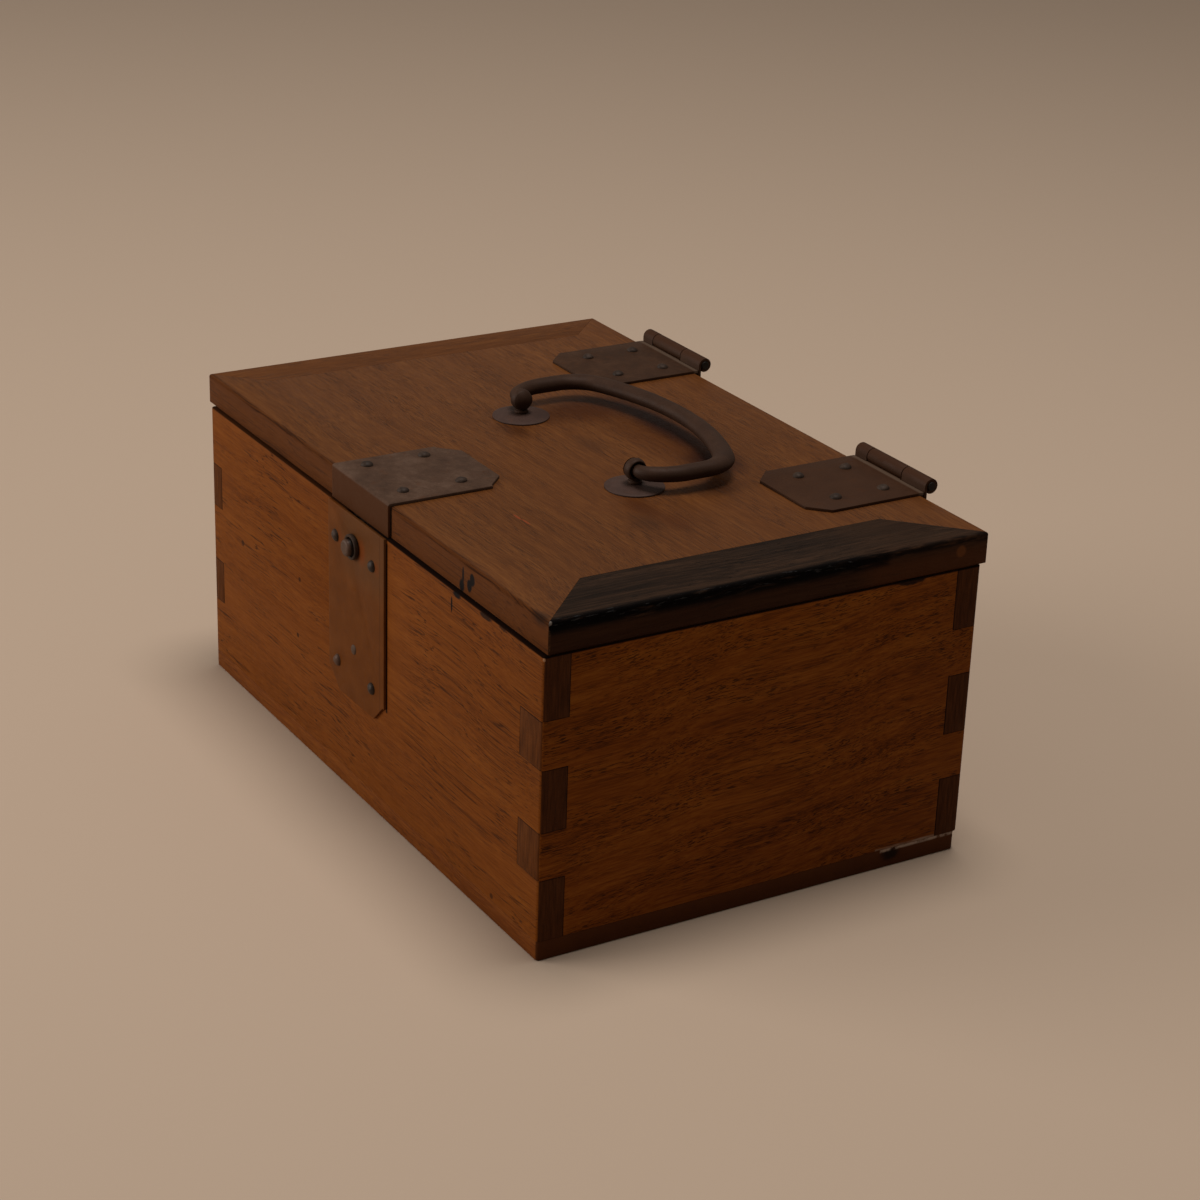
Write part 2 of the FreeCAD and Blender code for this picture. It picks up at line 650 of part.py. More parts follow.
def eye(name, side):
    middle = f"{side} * eye_spacing / 2"
    owner = body(name, x=middle, y="handle_y")
    ring = draw(owner, f"{name}_ring", "YZ_Plane", circles=[("0", "eye_z", "eye_radius")])
    pad(owner, ring, "eye_width", midplane=True)
    round_edges(owner, lambda edge, ends: at(ends, 0, "eye_width / 2", "-eye_width / 2"), "eye_rounding")
    shank = draw(owner, f"{name}_shank", "XY_Plane", circles=[("0", "0", "shank_radius")],
                 offset="lid_bottom - leg_thickness")
    pad(owner, shank, "eye_z - lid_bottom + leg_thickness")
    legs = draw(owner, f"{name}_legs", "XY_Plane", [[
        ("-leg_width / 2", "-leg_length"), ("leg_width / 2", "-leg_length"),
        ("leg_width / 2", "leg_length"), ("-leg_width / 2", "leg_length")]],
        offset="lid_bottom - leg_thickness")
    pad(owner, legs, "leg_thickness")
    hole = draw(owner, f"{name}_hole", "YZ_Plane", circles=[("0", "eye_z", "eye_bore")])
    pocket(owner, hole)
    gap = draw(owner, f"{name}_slit", "YZ_Plane", [[
        ("-slit / 2", "lid_bottom - leg_thickness - 1"), ("slit / 2", "lid_bottom - leg_thickness - 1"),
        ("slit / 2", "eye_z"), ("-slit / 2", "eye_z")]])
    pocket(owner, gap)
    return owner


def rosette(name, side):
    middle = f"{side} * eye_spacing / 2"
    disc = cylinder(f"{name}_edge", "rosette_radius", "rosette_edge", x=middle, y="handle_y", z="lid_top")
    dome = cap(f"{name}_dome", "rosette_radius", "rosette_dome", x=middle, y="handle_y",
               z="lid_top + rosette_edge")
    hole = cylinder(f"{name}_hole", "shank_radius + hole_clearance", "rosette_edge + rosette_dome + 1",
                    x=middle, y="handle_y", z="lid_top")
    return piece(subtract(name, join(f"{name}_solid", [disc, dome]), [hole]))


for end, side in (("left", "-1"), ("right", "1")):
    eye(f"handle_eye_{end}", side)
    rosette(f"rosette_{end}", side)


def bail_path():
    """Places along half of the bail from its right end to the middle: x, reach and heading."""
    x = value("eye_spacing / 2 - eye_width / 2 - stub_overhang")
    reach = 0.0
    heading = 0.0
    path = [(x, reach, heading)]

    def run(length):
        nonlocal x, reach
        steps = max(1, round(length / value("section_spacing")))
        for _ in range(steps):
            x += length / steps * math.cos(heading)
            reach += length / steps * math.sin(heading)
            path.append((x, reach, heading))

    def turn(radius, angle):
        nonlocal x, reach, heading
        steps = max(1, round(radius * angle / value("section_spacing")))
        for _ in range(steps):
            after = heading + angle / steps
            x += radius * (math.sin(after) - math.sin(heading))
            reach += radius * (math.cos(heading) - math.cos(after))
            heading = after
            path.append((x, reach, heading))

    bend = math.radians(value("bend_angle"))
    corner = math.radians(value("corner_turn_angle"))
    run(value("eye_width + stub_overhang + bend_start"))
    turn(value("bend_radius"), bend)
    turn(value("side_radius"), math.pi / 2 - bend)
    run(value("side_length"))
    turn(value("corner_turn_radius"), corner)
    turn(x / math.sin(heading), math.pi - heading)
    return path


def rod_section(x, reach, heading, half_width, half_height):
    """The rod's oval outline at a place on the bail."""
    across = FreeCAD.Vector(-math.sin(heading), math.cos(heading), 0)
    along = FreeCAD.Vector(math.cos(heading), math.sin(heading), 0)
    stretch = FreeCAD.Matrix()
    stretch.scale(half_width, half_height, 1)
    outline = Part.Wire(Part.makeCircle(1)).transformGeometry(stretch)
    outline.Placement = FreeCAD.Placement(
        FreeCAD.Vector(x, value("handle_y") + reach, value("eye_z")),
        FreeCAD.Rotation(across, FreeCAD.Vector(0, 0, 1), along))
    return outline


def half_sizes(heading):
    """Half the rod's width and height: round in the eyes, widest at the shoulders."""
    grown = min(1, heading / (math.pi / 2))
    shoulder = max(0, math.sin(2 * heading - math.pi))
    width = value("rod_end") + (value("rod_middle") - value("rod_end")) * grown
    width += (value("rod_shoulder") - value("rod_middle")) * shoulder
    return width, value("rod_end") + (value("rod_height") - value("rod_end")) * grown


half = bail_path()
sections = [rod_section(x, reach, heading, *half_sizes(heading)) for x, reach, heading in half]
mirrored = [rod_section(-x, reach, -heading, *half_sizes(heading)) for x, reach, heading in half]
rod = doc.addObject("Part::Feature", "bail_rod")
rod.Shape = Part.makeLoft(sections + mirrored[-2::-1], True)
ring_gap = "eye_spacing / 2 - eye_width / 2 - stub_head_gap"
stub_heads = [cap("bail_head_left", "stub_head_radius", "stub_head_height", "x",
                  x=f"-({ring_gap})", y="handle_y", z="eye_z"),
              cap("bail_head_right", "stub_head_radius", "stub_head_height", "-x",
                  x=ring_gap, y="handle_y", z="eye_z")]
piece(join("handle_bail", [rod, *stub_heads]))


# Recompute, check every object, and write one file for each piece

doc.recompute()
for obj in doc.Objects:
    if "Invalid" in obj.State or "Error" in obj.State:
        raise RuntimeError(f"{obj.Label} did not compute: {obj.State}")
os.makedirs("parts", exist_ok=True)
for obj in pieces:
    shape = obj.Shape
    if shape.isNull() or not shape.isValid() or not shape.Solids:
        raise RuntimeError(f"{obj.Label} has no valid solid")
    shape.exportStep(f"parts/{obj.Label}.step")
    print(f"{obj.Label}: {len(shape.Solids)} solid(s), {shape.Volume:.1f} mm3")
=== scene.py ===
import math
import random
import bmesh
import bpy
from mathutils import Matrix, Vector, noise


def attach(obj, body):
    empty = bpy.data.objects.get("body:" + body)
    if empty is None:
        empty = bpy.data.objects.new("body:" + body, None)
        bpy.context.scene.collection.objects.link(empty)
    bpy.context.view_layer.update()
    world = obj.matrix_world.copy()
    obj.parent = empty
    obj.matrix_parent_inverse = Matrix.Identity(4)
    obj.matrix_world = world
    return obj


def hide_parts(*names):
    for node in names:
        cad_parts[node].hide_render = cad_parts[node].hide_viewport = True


noise.seed_set(1)  # or the uneven surfaces would differ from run to run
mm = 0.001
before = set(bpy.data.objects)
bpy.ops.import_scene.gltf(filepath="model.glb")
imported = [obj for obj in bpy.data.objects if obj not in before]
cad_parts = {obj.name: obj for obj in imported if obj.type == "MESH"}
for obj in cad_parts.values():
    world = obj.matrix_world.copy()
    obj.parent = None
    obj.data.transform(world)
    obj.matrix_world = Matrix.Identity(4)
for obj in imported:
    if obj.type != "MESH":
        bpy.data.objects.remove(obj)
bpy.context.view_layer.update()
print("frame loaded:", len(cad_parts), "nodes")


# modelling helpers

def at(x, y, z):
    return Vector((x, y, z)) * mm


def deselectAll():
    if bpy.context.object and bpy.context.object.mode != "OBJECT":
        bpy.ops.object.mode_set(mode="OBJECT")
    bpy.ops.object.select_all(action="DESELECT")


def choose(obj):
    deselectAll()
    obj.select_set(True)
    bpy.context.view_layer.objects.active = obj


def editing(obj):
    choose(obj)
    bpy.ops.object.mode_set(mode="EDIT")
    bpy.ops.mesh.select_all(action="DESELECT")


def done(obj):
    bpy.ops.object.mode_set(mode="OBJECT")
    return obj


def settle(obj):
    choose(obj)
    bpy.ops.object.transform_apply(location=True, rotation=True, scale=True)
    return obj


def pick(obj, faces=None, edges=None, verts=None):
    # selects in edit mode by a test in mm: on a face's centre and normal, an edge's ends or a vertex's place
    mode = "FACE" if faces else "EDGE" if edges else "VERT"
    bpy.ops.mesh.select_mode(type=mode)
    bpy.ops.mesh.select_all(action="DESELECT")
    mesh = bmesh.from_edit_mesh(obj.data)
    mesh.normal_update()
    if faces:
        for face in mesh.faces:
            face.select_set(faces(face.calc_center_median() / mm, face.normal))
    elif edges:
        for edge in mesh.edges:
            edge.select_set(edges(edge.verts[0].co / mm, edge.verts[1].co / mm))
    else:
        for vert in mesh.verts:
            vert.select_set(verts(vert.co / mm))
    mesh.select_flush_mode()
    bmesh.update_edit_mesh(obj.data)


def near(value, target, slack=0.02):
    return abs(value - target) < slack


def block(name, low, high):
    deselectAll()
    middle = [(a + b) / 2 for a, b in zip(low, high)]
    bpy.ops.mesh.primitive_cube_add(size=1, location=at(*middle))
    obj = bpy.context.object
    obj.name = name
    obj.data.name = name
    obj.scale = [(b - a) * mm for a, b in zip(low, high)]
    return settle(obj)


def rod(name, radius, length, middle, turn=(0, 0, 0), sides=32):
    deselectAll()
    bpy.ops.mesh.primitive_cylinder_add(vertices=sides, radius=radius * mm, depth=length * mm,
                                        location=at(*middle), rotation=turn)
    obj = bpy.context.object
    obj.name = name
    obj.data.name = name
    return settle(obj)


def cutAlong(place, normal, clear=False):
    # cuts the edited mesh along a plane; clear drops the side that the normal points to and closes the cut
    bpy.ops.mesh.select_all(action="SELECT")
    bpy.ops.mesh.bisect(plane_co=at(*place), plane_no=normal, clear_outer=clear, use_fill=clear)


def extrude(by):
    bpy.ops.mesh.extrude_region_move(TRANSFORM_OT_translate={"value": at(*by)})


def inset(rim, rise=0.0):
    bpy.ops.mesh.inset(thickness=rim * mm, depth=rise * mm)


def bevelEdges(width, segments):
    bpy.ops.mesh.bevel(offset=width * mm, segments=segments, affect="EDGES")


def carve(obj, cutter):
    tool = obj.modifiers.new("carve", "BOOLEAN")
    tool.operation = "DIFFERENCE"
    tool.solver = "EXACT"
    tool.object = cutter
    choose(obj)
    bpy.ops.object.modifier_apply(modifier=tool.name)
    bpy.data.objects.remove(cutter)
    return obj


def soften(obj, width, segments=2, angle=35):
    choose(obj)
    tool = obj.modifiers.new("soften", "BEVEL")
    tool.width = width * mm
    tool.segments = segments
    tool.limit_method = "ANGLE"
    tool.angle_limit = math.radians(angle)
    tool.harden_normals = False
    bpy.ops.object.modifier_apply(modifier=tool.name)
    return obj


def smooth(obj, angle=40):
    choose(obj)
    bpy.ops.object.shade_smooth_by_angle(angle=math.radians(angle))
    return obj


def tidyNormals(obj):
    editing(obj)
    bpy.ops.mesh.select_all(action="SELECT")
    bpy.ops.mesh.remove_doubles(threshold=0.002 * mm)
    bpy.ops.mesh.normals_make_consistent(inside=False)
    return done(obj)


def unevenness(obj, amount, size, seed):
    # small hand-made waviness of the surface
    for vert in obj.data.vertices:
        place = vert.co / (size * mm) + Vector((seed, seed * 1.7, seed * 0.3))
        vert.co += noise.noise_vector(place) * amount * mm
    obj.data.update()
    return obj


def merge(objects, name):
    deselectAll()
    for obj in objects:
        obj.select_set(True)
    bpy.context.view_layer.objects.active = objects[0]
    bpy.ops.object.join()
    obj = bpy.context.object
    obj.name = name
    obj.data.name = name
    return obj


def install(obj, body, node, material):
    obj.data.materials.clear()
    obj.data.materials.append(material)
    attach(obj, body)
    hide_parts(node)


# shader helpers

class Value:  # a shader socket that can be used in sums
    def __init__(self, shader, socket):
        self.shader = shader
        self.socket = socket

    def maths(self, operation, *rest, flip=False):
        terms = [self, *rest]
        if flip:
            terms.reverse()
        return self.shader.node("ShaderNodeMath", {"operation": operation}, dict(enumerate(terms)))

    def __add__(self, other):
        return self.maths("ADD", other)

    def __radd__(self, other):
        return self.maths("ADD", other)

    def __sub__(self, other):
        return self.maths("SUBTRACT", other)

    def __rsub__(self, other):
        return self.maths("SUBTRACT", other, flip=True)

    def __mul__(self, other):
        return self.maths("MULTIPLY", other)

    def __rmul__(self, other):
        return self.maths("MULTIPLY", other)

    def __truediv__(self, other):
        return self.maths("DIVIDE", other)

    def __abs__(self):
        return self.maths("ABSOLUTE")

    def most(self, other):
        return self.maths("MAXIMUM", other)


class Shader:
    def __init__(self, name):
        self.material = bpy.data.materials.new(name)
        self.material.use_nodes = True
        self.tree = self.material.node_tree
        self.tree.nodes.clear()
        coordinates = self.node("ShaderNodeTexCoord", output="Object")
        self.place = self.node("ShaderNodeVectorMath", {"operation": "SCALE"},
                               {0: coordinates, "Scale": 1 / mm})  # in mm
        self.x, self.y, self.z = [self.node("ShaderNodeSeparateXYZ", inputs={0: self.place}, output=axis)
                                  for axis in "XYZ"]

    def node(self, kind, settings=None, inputs=None, output=0):
        made = self.tree.nodes.new(kind)
        for key, value in (settings or {}).items():
            if key == "stops":
                ramp = made.color_ramp
                while len(ramp.elements) < len(value):
                    ramp.elements.new(0.5)
                for element, (position, colour) in zip(ramp.elements, value):
                    element.position = position
                    element.color = (*colour, 1)
            else:
                setattr(made, key, value)
        for key, value in (inputs or {}).items():
            if isinstance(value, Value):
                self.tree.links.new(value.socket, made.inputs[key])
            else:
                made.inputs[key].default_value = value
        return None if output is None else Value(self, made.outputs[output])

    def stretched(self, scale, shift=(0, 0, 0), place=None):
        return self.node("ShaderNodeVectorMath", {"operation": "MULTIPLY_ADD"},
                         {0: place or self.place, 1: scale, 2: shift})

    def noise(self, vector, scale=1.0, detail=3.0, roughness=0.5, distortion=0.0):
        return self.node("ShaderNodeTexNoise", {},
                         {"Vector": vector, "Scale": scale, "Detail": detail,
                          "Roughness": roughness, "Distortion": distortion})

    def cells(self, vector, scale):
        return self.node("ShaderNodeTexVoronoi", {}, {"Vector": vector, "Scale": scale}, "Distance")

    def rise(self, value, low, high):  # 0 below low, 1 above high, smooth between
        return self.node("ShaderNodeMapRange", {"interpolation_type": "SMOOTHSTEP"},
                         {0: value, 1: low, 2: high, 3: 0.0, 4: 1.0})

    def fall(self, value, low, high):  # the other way round
        return self.node("ShaderNodeMapRange", {"interpolation_type": "SMOOTHSTEP"},
                         {0: value, 1: low, 2: high, 3: 1.0, 4: 0.0})

    def ramp(self, value, stops):
        return self.node("ShaderNodeValToRGB", {"stops": list(stops)}, {0: value})

    def mix(self, share, first, second):
        first, second = [c if isinstance(c, Value) else (*c, 1) for c in (first, second)]
        return self.node("ShaderNodeMix", {"data_type": "RGBA", "clamp_factor": True},
                         {0: share, 6: first, 7: second}, output=2)

    def blot(self, centre, size, soft, ragged):
        # 1 inside an ellipsoid round a place in mm, 0 outside; ragged roughens its outline
        inverse = [1 / s for s in size]
        shift = [-c / s for c, s in zip(centre, size)]
        away = self.node("ShaderNodeVectorMath", {"operation": "LENGTH"},
                         {0: self.stretched(inverse, shift)}, output="Value")
        away = away + (self.noise(self.place, 1 / 1.5, 2) - 0.5) * ragged
        return self.fall(away, 1 - soft, 1 + soft)

    def within(self, low, high, soft):
        # 1 inside a box in mm, with soft sides; None leaves a side open
        sides = []
        for value, a, b in zip((self.x, self.y, self.z), low, high):
            if a is not None:
                sides.append(self.rise(value, a - soft, a + soft))
            if b is not None:
                sides.append(self.fall(value, b - soft, b + soft))
        share = sides[0]
        for side in sides[1:]:
            share = share * side
        return share

    def finish(self, colour, roughness, metallic=0.0, height=None, bump=0.0, specular=0.5):
        inputs = {"Base Color": colour if isinstance(colour, Value) else (*colour, 1),
                  "Roughness": roughness, "Metallic": metallic, "Specular IOR Level": specular}
        if height:
            inputs["Normal"] = self.node("ShaderNodeBump", {},
                                         {"Height": height, "Strength": bump, "Distance": mm})
        surface = self.node("ShaderNodeBsdfPrincipled", {}, inputs)
        self.node("ShaderNodeOutputMaterial", {}, {"Surface": surface}, output=None)
        return self.material


def linear(red, green, blue):
    # a colour from its 0 to 255 screen values
    return tuple(((c / 255) / 12.92) if c <= 10 else ((c / 255 + 0.055) / 1.055) ** 2.4
                 for c in (red, green, blue))


# marks: colour laid over a finish, with places and sizes in mm

def blotMark(place, size, strength, colour, soft=0.3, ragged=0.3):
    # an ellipsoid of colour round a place
    return {"kind": "blot", "place": place, "size": size, "strength": strength, "colour": linear(*colour),
            "soft": soft, "ragged": ragged, "rough": 0}


def boxMark(low, high, strength, colour, soft=1.0, streaks=None, cut=0.35, edge=0.25, rough=0):
    # colour between two corners, None where it has no end; rough is what it adds to the roughness,
    # and streaks gives length and width along the grain to the pattern that is left above cut
    return {"kind": "box", "low": low, "high": high, "strength": strength, "colour": linear(*colour),
            "soft": soft, "streaks": streaks, "cut": cut, "edge": edge, "rough": rough}


def layMarks(s, colour, rough, marks, grainwise=None):
    for mark in marks:
        if mark["kind"] == "blot":
            share = s.blot(mark["place"], mark["size"], mark["soft"], mark["ragged"])
        else:
            share = s.within(mark["low"], mark["high"], mark["soft"])
            if mark["streaks"]:
                pattern = s.noise(grainwise(*mark["streaks"]), 1.0, 3, 0.6)
                share = share * s.rise(pattern, mark["cut"], mark["cut"] + mark["edge"])
        colour = s.mix(share * mark["strength"], colour, mark["colour"])
        if mark["rough"]:
            rough = rough + share * mark["rough"]
    return colour, rough


# wood

# length along the grain and width across it, in mm
grainSizes = {"drift": (90, 30), "bands": (150, 8), "streaks": (40, 1.3), "fibres": (9, 0.45),
              "poreFields": (45, 6), "cracks": (75, 2.3), "crackFields": (45, 14)}
# share of the bump's height; hollows count below 0
woodRelief = {"fibres": 0.06, "pores": -0.12, "cracks": -0.18, "waves": 0.3}
# the end grain's sizes, how deep it lies on the fingers, and the lines round them, in mm
endGrain = {"size": (0.9, 0.9, 9), "skin": (0.45, 0.25), "strength": 0.92, "jointLine": (0.14, 0.34),
            "cornerLine": (0.2, 0.42), "lineColour": (17, 9, 5)}


def wood(name, look):
    s = Shader(name)
    along = 0 if look["grain"] == "x" else 1
    seed = look["seed"]
    across = [1.0, 1.0, 1.0]
    across[along] = 0.0
    # the grain wanders across its own direction
    wander = (s.noise(s.place, 0.016, 1) - 0.5) * look["wander"] - (s.x, s.y)[along] * look["slant"]
    flow = s.node("ShaderNodeVectorMath", {"operation": "MULTIPLY_ADD"}, {0: wander, 1: across, 2: s.place})

    def grainwise(length, width):
        scale = [1 / width] * 3
        scale[along] = 1 / length
        return s.stretched(scale, (seed * 3.1, seed * 5.3, seed * 7.7), flow)

    def pattern(part, detail, roughness=0.5):
        return s.noise(grainwise(*grainSizes[part]), 1.0, detail, roughness)

    # year rings round the pith, stretched along the grain
    cross = [1.0, 1.0, 1.0]
    cross[along] = 0.035
    shift = [-p * c for p, c in zip(look["pith"], cross)]
    away = s.node("ShaderNodeVectorMath", {"operation": "LENGTH"},
                  {0: s.stretched(cross, shift, flow)}, output="Value")
    rings = away / look["ringWidth"] + pattern("drift", 2) * look["ringWave"]
    ring = s.node("ShaderNodeMath", {"operation": "FRACT"}, {0: rings})
    ring = s.ramp(ring, [(0.0, (0.35,) * 3), (0.55, (0.62,) * 3), (0.86, (0.9,) * 3), (1.0, (0.35,) * 3)])
    streaks = pattern("streaks", 3, 0.6)
    fibres = pattern("fibres", 2, 0.6)
    tone = (pattern("bands", 2) - 0.5) * look["bands"] + (streaks - 0.5) * look["streaks"] \
        + (fibres - 0.5) * look["fibres"] + (ring - 0.6) * look["rings"] + 0.5
    colour = s.ramp(tone, zip((0.12, 0.45, 0.85), [linear(*shade) for shade in look["shades"]]))

    pores = s.noise(grainwise(look["poreLength"], look["poreWidth"]), 1.0, 1, 0.5)
    pores = s.rise(pores, look["poreCut"], look["poreCut"] + 0.1)
    pores = pores * s.rise(pattern("poreFields", 2), 0.36, 0.62)
    colour = s.mix(pores * look["pores"], colour, linear(*look["poreColour"]))
    cracks = s.fall(abs(pattern("cracks", 2, 0.55) - 0.5), 0.0, look["crackWidth"])
    cracks = cracks * s.rise(pattern("crackFields", 1), look["crackFrom"], look["crackFrom"] + 0.1)
    colour = s.mix(cracks * look["cracks"], colour, linear(*look["crackColour"]))
    height = fibres * woodRelief["fibres"] + pores * woodRelief["pores"] + cracks * woodRelief["cracks"] \
        + s.noise(s.place, 0.06, 2) * woodRelief["waves"]

    cloud = s.noise(s.place, 0.035, 3, 0.6)
    colour = s.mix((cloud - 0.42) * look["cloud"], colour, linear(*look["cloudColour"]))
    grime = s.noise(s.place, 0.35, 4, 0.65)
    rough = look["roughness"] + (grime - 0.5) * 0.22 + (streaks - 0.5) * 0.12
    if look["ends"]:
        colour = fingerEnds(s, colour, along, look["ends"], [linear(*shade) for shade in look["endColours"]])
    colour, rough = layMarks(s, colour, rough, look["marks"], grainwise)
    return s.finish(colour, rough, height=height, bump=look["bump"], specular=look["specular"])


def fingerEnds(s, colour, along, joints, colours):
    # end grain on the ends of the fingers, with a dark line round each
    outer, inner = joints
    deep, shallow = endGrain["skin"]
    face = s.rise(abs((s.x, s.y)[along]), outer - deep, outer - shallow)
    grain = s.noise(s.stretched([1 / size for size in endGrain["size"]]), 1.0, 3, 0.6)
    colour = s.mix(face * endGrain["strength"], colour, s.ramp(grain, zip((0.32, 0.68), colours)))
    line = None
    for level in levels[1:-1]:
        joint = s.fall(abs(s.z - level), *endGrain["jointLine"])
        line = joint if line is None else line.most(joint)
    for corner in inner:
        line = line.most(s.fall(abs((s.x, s.y)[1 - along] - corner), *endGrain["cornerLine"]))
    worn = s.rise(s.noise(s.place, 0.25, 2), 0.35, 0.6)
    return s.mix(face * line * (worn * 0.4 + 0.5), colour, linear(*endGrain["lineColour"]))


# iron

# how often each pattern repeats, per mm
ironScales = {"cloud": 0.11, "mottle": 0.45, "grain": 2.6, "rust": 0.23, "pits": 0.9, "hammer": 0.16}


def iron(name, look):
    s = Shader(name)
    moved = s.stretched((1, 1, 1), (look["seed"] * 2.3, look["seed"] * 1.1, look["seed"] * 4.7))
    cloud = s.noise(moved, ironScales["cloud"], 4, 0.62)
    mottle = s.noise(moved, ironScales["mottle"], 4, 0.7)
    grain = s.noise(moved, ironScales["grain"], 3, 0.7)
    tone = ((cloud - 0.5) * 1.3 + (mottle - 0.5) * 0.8) * look["mottling"] + (grain - 0.5) * 0.35 + 0.5
    shades = [linear(*shade) for shade in look["shades"]]
    colour = s.ramp(tone, zip((0.15, 0.5, 0.85), shades))
    rust = s.rise(s.noise(moved, ironScales["rust"], 5, 0.7, 0.4), 0.55, 0.71)
    colour = s.mix(rust * look["rust"], colour, linear(*look["rustColour"]))
    pits = s.fall(s.cells(moved, ironScales["pits"]), 0.05, 0.22) * s.rise(mottle, 0.5, 0.62)
    colour = s.mix(pits * 0.4, colour, shades[0])
    rough = look["roughness"] + (mottle - 0.5) * 0.3 + rust * 0.15
    metal = look["metallic"] * (1 - rust * 0.6)
    height = s.noise(moved, ironScales["hammer"], 1) * look["hammerHeight"] + grain * 0.05 - pits * 0.12
    colour, rough = layMarks(s, colour, rough, look["marks"])
    return s.finish(colour, rough, metal, height, look["bump"], look["specular"])


# the box's boards

box = {"left": -118, "right": 118, "front": -77.25, "back": 77.25, "base": 6.5, "top": 98.5,
       "rightWall": 13, "leftWall": 8, "longWall": 9, "endFinger": 15.6, "arris": 1.3, "joint": 0.16,
       "backShort": 1.0, "baseArris": 0.5}
longFinger = (box["top"] - box["base"] - 2 * box["endFinger"]) / 3
levels = [box["base"]]
for height in (longFinger, box["endFinger"], longFinger, box["endFinger"], longFinger):
    levels.append(levels[-1] + height)
innerX = (box["left"] + box["leftWall"], box["right"] - box["rightWall"])
innerY = (box["front"] + box["longWall"], box["back"] - box["longWall"])


def cutFingers():
    for level in levels[1:-1]:
        cutAlong((0, 0, level), (0, 0, 1))


def roundCorners(board, test):
    pick(board, edges=lambda a, b: abs(a.z - b.z) > 1 and test(a) and test(b))
    bevelEdges(box["arris"], 4)


def longBoard(name, outer, inner):
    low, high = sorted((outer, inner))
    board = block(name, (innerX[0], low, box["base"]), (innerX[1], high, box["top"]))
    editing(board)
    cutFingers()
    for side, wall in ((1, box["rightWall"]), (-1, box["leftWall"])):
        for k in (0, 2, 4):
            pick(board, faces=lambda c, n: n.x * side > 0.9 and levels[k] < c.z < levels[k + 1])
            extrude((side * wall, 0, 0))
    roundCorners(board, lambda p: near(p.y, outer) and (near(p.x, box["left"]) or near(p.x, box["right"])))
    return done(board)


def endBoard(name, outer, inner):
    low, high = sorted((outer, inner))
    board = block(name, (low, innerY[0], box["base"]), (high, innerY[1], box["top"]))
    editing(board)
    cutFingers()
    for side in (1, -1):
        for k in (1, 3):
            pick(board, faces=lambda c, n: n.y * side > 0.9 and levels[k] < c.z < levels[k + 1])
            extrude((0, side * box["longWall"], 0))
    roundCorners(board, lambda p: near(p.x, outer) and (near(p.y, box["front"]) or near(p.y, box["back"])))
    return done(board)


frontBoard = longBoard("frontBoard", box["front"], innerY[0])
backBoard = longBoard("backBoard", box["back"], innerY[1])
rightEnd = endBoard("rightEndBoard", box["right"], innerX[1])
leftEnd = endBoard("leftEndBoard", box["left"], innerX[0])
bottomBoard = block("bottomBoard", (box["left"], box["front"], 0),
                    (box["right"], box["back"] - box["backShort"], box["base"]))
editing(bottomBoard)
pick(bottomBoard, edges=lambda a, b: abs(a.z - b.z) > 1)
bevelEdges(box["arris"], 4)
pick(bottomBoard, edges=lambda a, b: a.z < 0.1 and b.z < 0.1)
bevelEdges(box["baseArris"], 2)
done(bottomBoard)

lock = {"x": -2.5, "plateLeft": -21, "plateRight": 19, "plateBottom": 34, "sheet": 1.0, "clip": 6.2,
        "step": 1.1, "strapReach": 43, "strapBend": 0.9, "strapNailsX": (-14.9, 10.7),
        "strapNailsY": (-67.4, -47.0), "nailRadius": 2.0, "nailHeight": 1.25,
        "plateNails": ((-15.3, 87.7), (10.8, 86.6), (-14.4, 44.2), (10.6, 44.3)), "plateNailHeight": 1.3,
        "buttonZ": 88.4, "buttonRadius": 2.8, "buttonHole": 3.15, "buttonReach": 3.4, "buttonLength": 8.0,
        "buttonInset": 1.1, "buttonArris": 0.9, "collarRadius": 4.2, "collarHeight": 1.5, "collarArris": 0.4,
        "rivetZ": 52.6, "rivetRadius": 1.7, "rivetHeight": 0.5,
        "pocketDepth": 6.8, "pocketWidth": 14, "pocketBottom": 46.6}
half = lock["pocketWidth"] / 2
carve(frontBoard, block("pocketCutter", (lock["x"] - half, box["front"] - 1, lock["pocketBottom"]),
                        (lock["x"] + half, box["front"] + lock["pocketDepth"], box["top"] + 1)))
for board in (frontBoard, backBoard, rightEnd, leftEnd, bottomBoard):
    soften(board, box["joint"])
    smooth(board)
print("boards done")


# the lid's panel, strips and peg

lid = {"left": -122.4, "right": 117.6, "front": -75.8, "back": 79.2, "base": 98.8, "top": 109.0,
       "rightStrip": 24, "leftStrip": 16, "edge": 0.8, "joint": 0.14,
       "pegY": 69.2, "pegZ": 104.4, "pegRadius": 1.6, "pegLength": 3, "pegRim": 0.35, "pegSink": 0.15,
       "pegArris": 0.08}


def roundTop(obj, test):
    pick(obj, edges=lambda a, b: near(a.z, lid["top"]) and near(b.z, lid["top"]) and test(a) and test(b))
    bevelEdges(lid["edge"], 4)


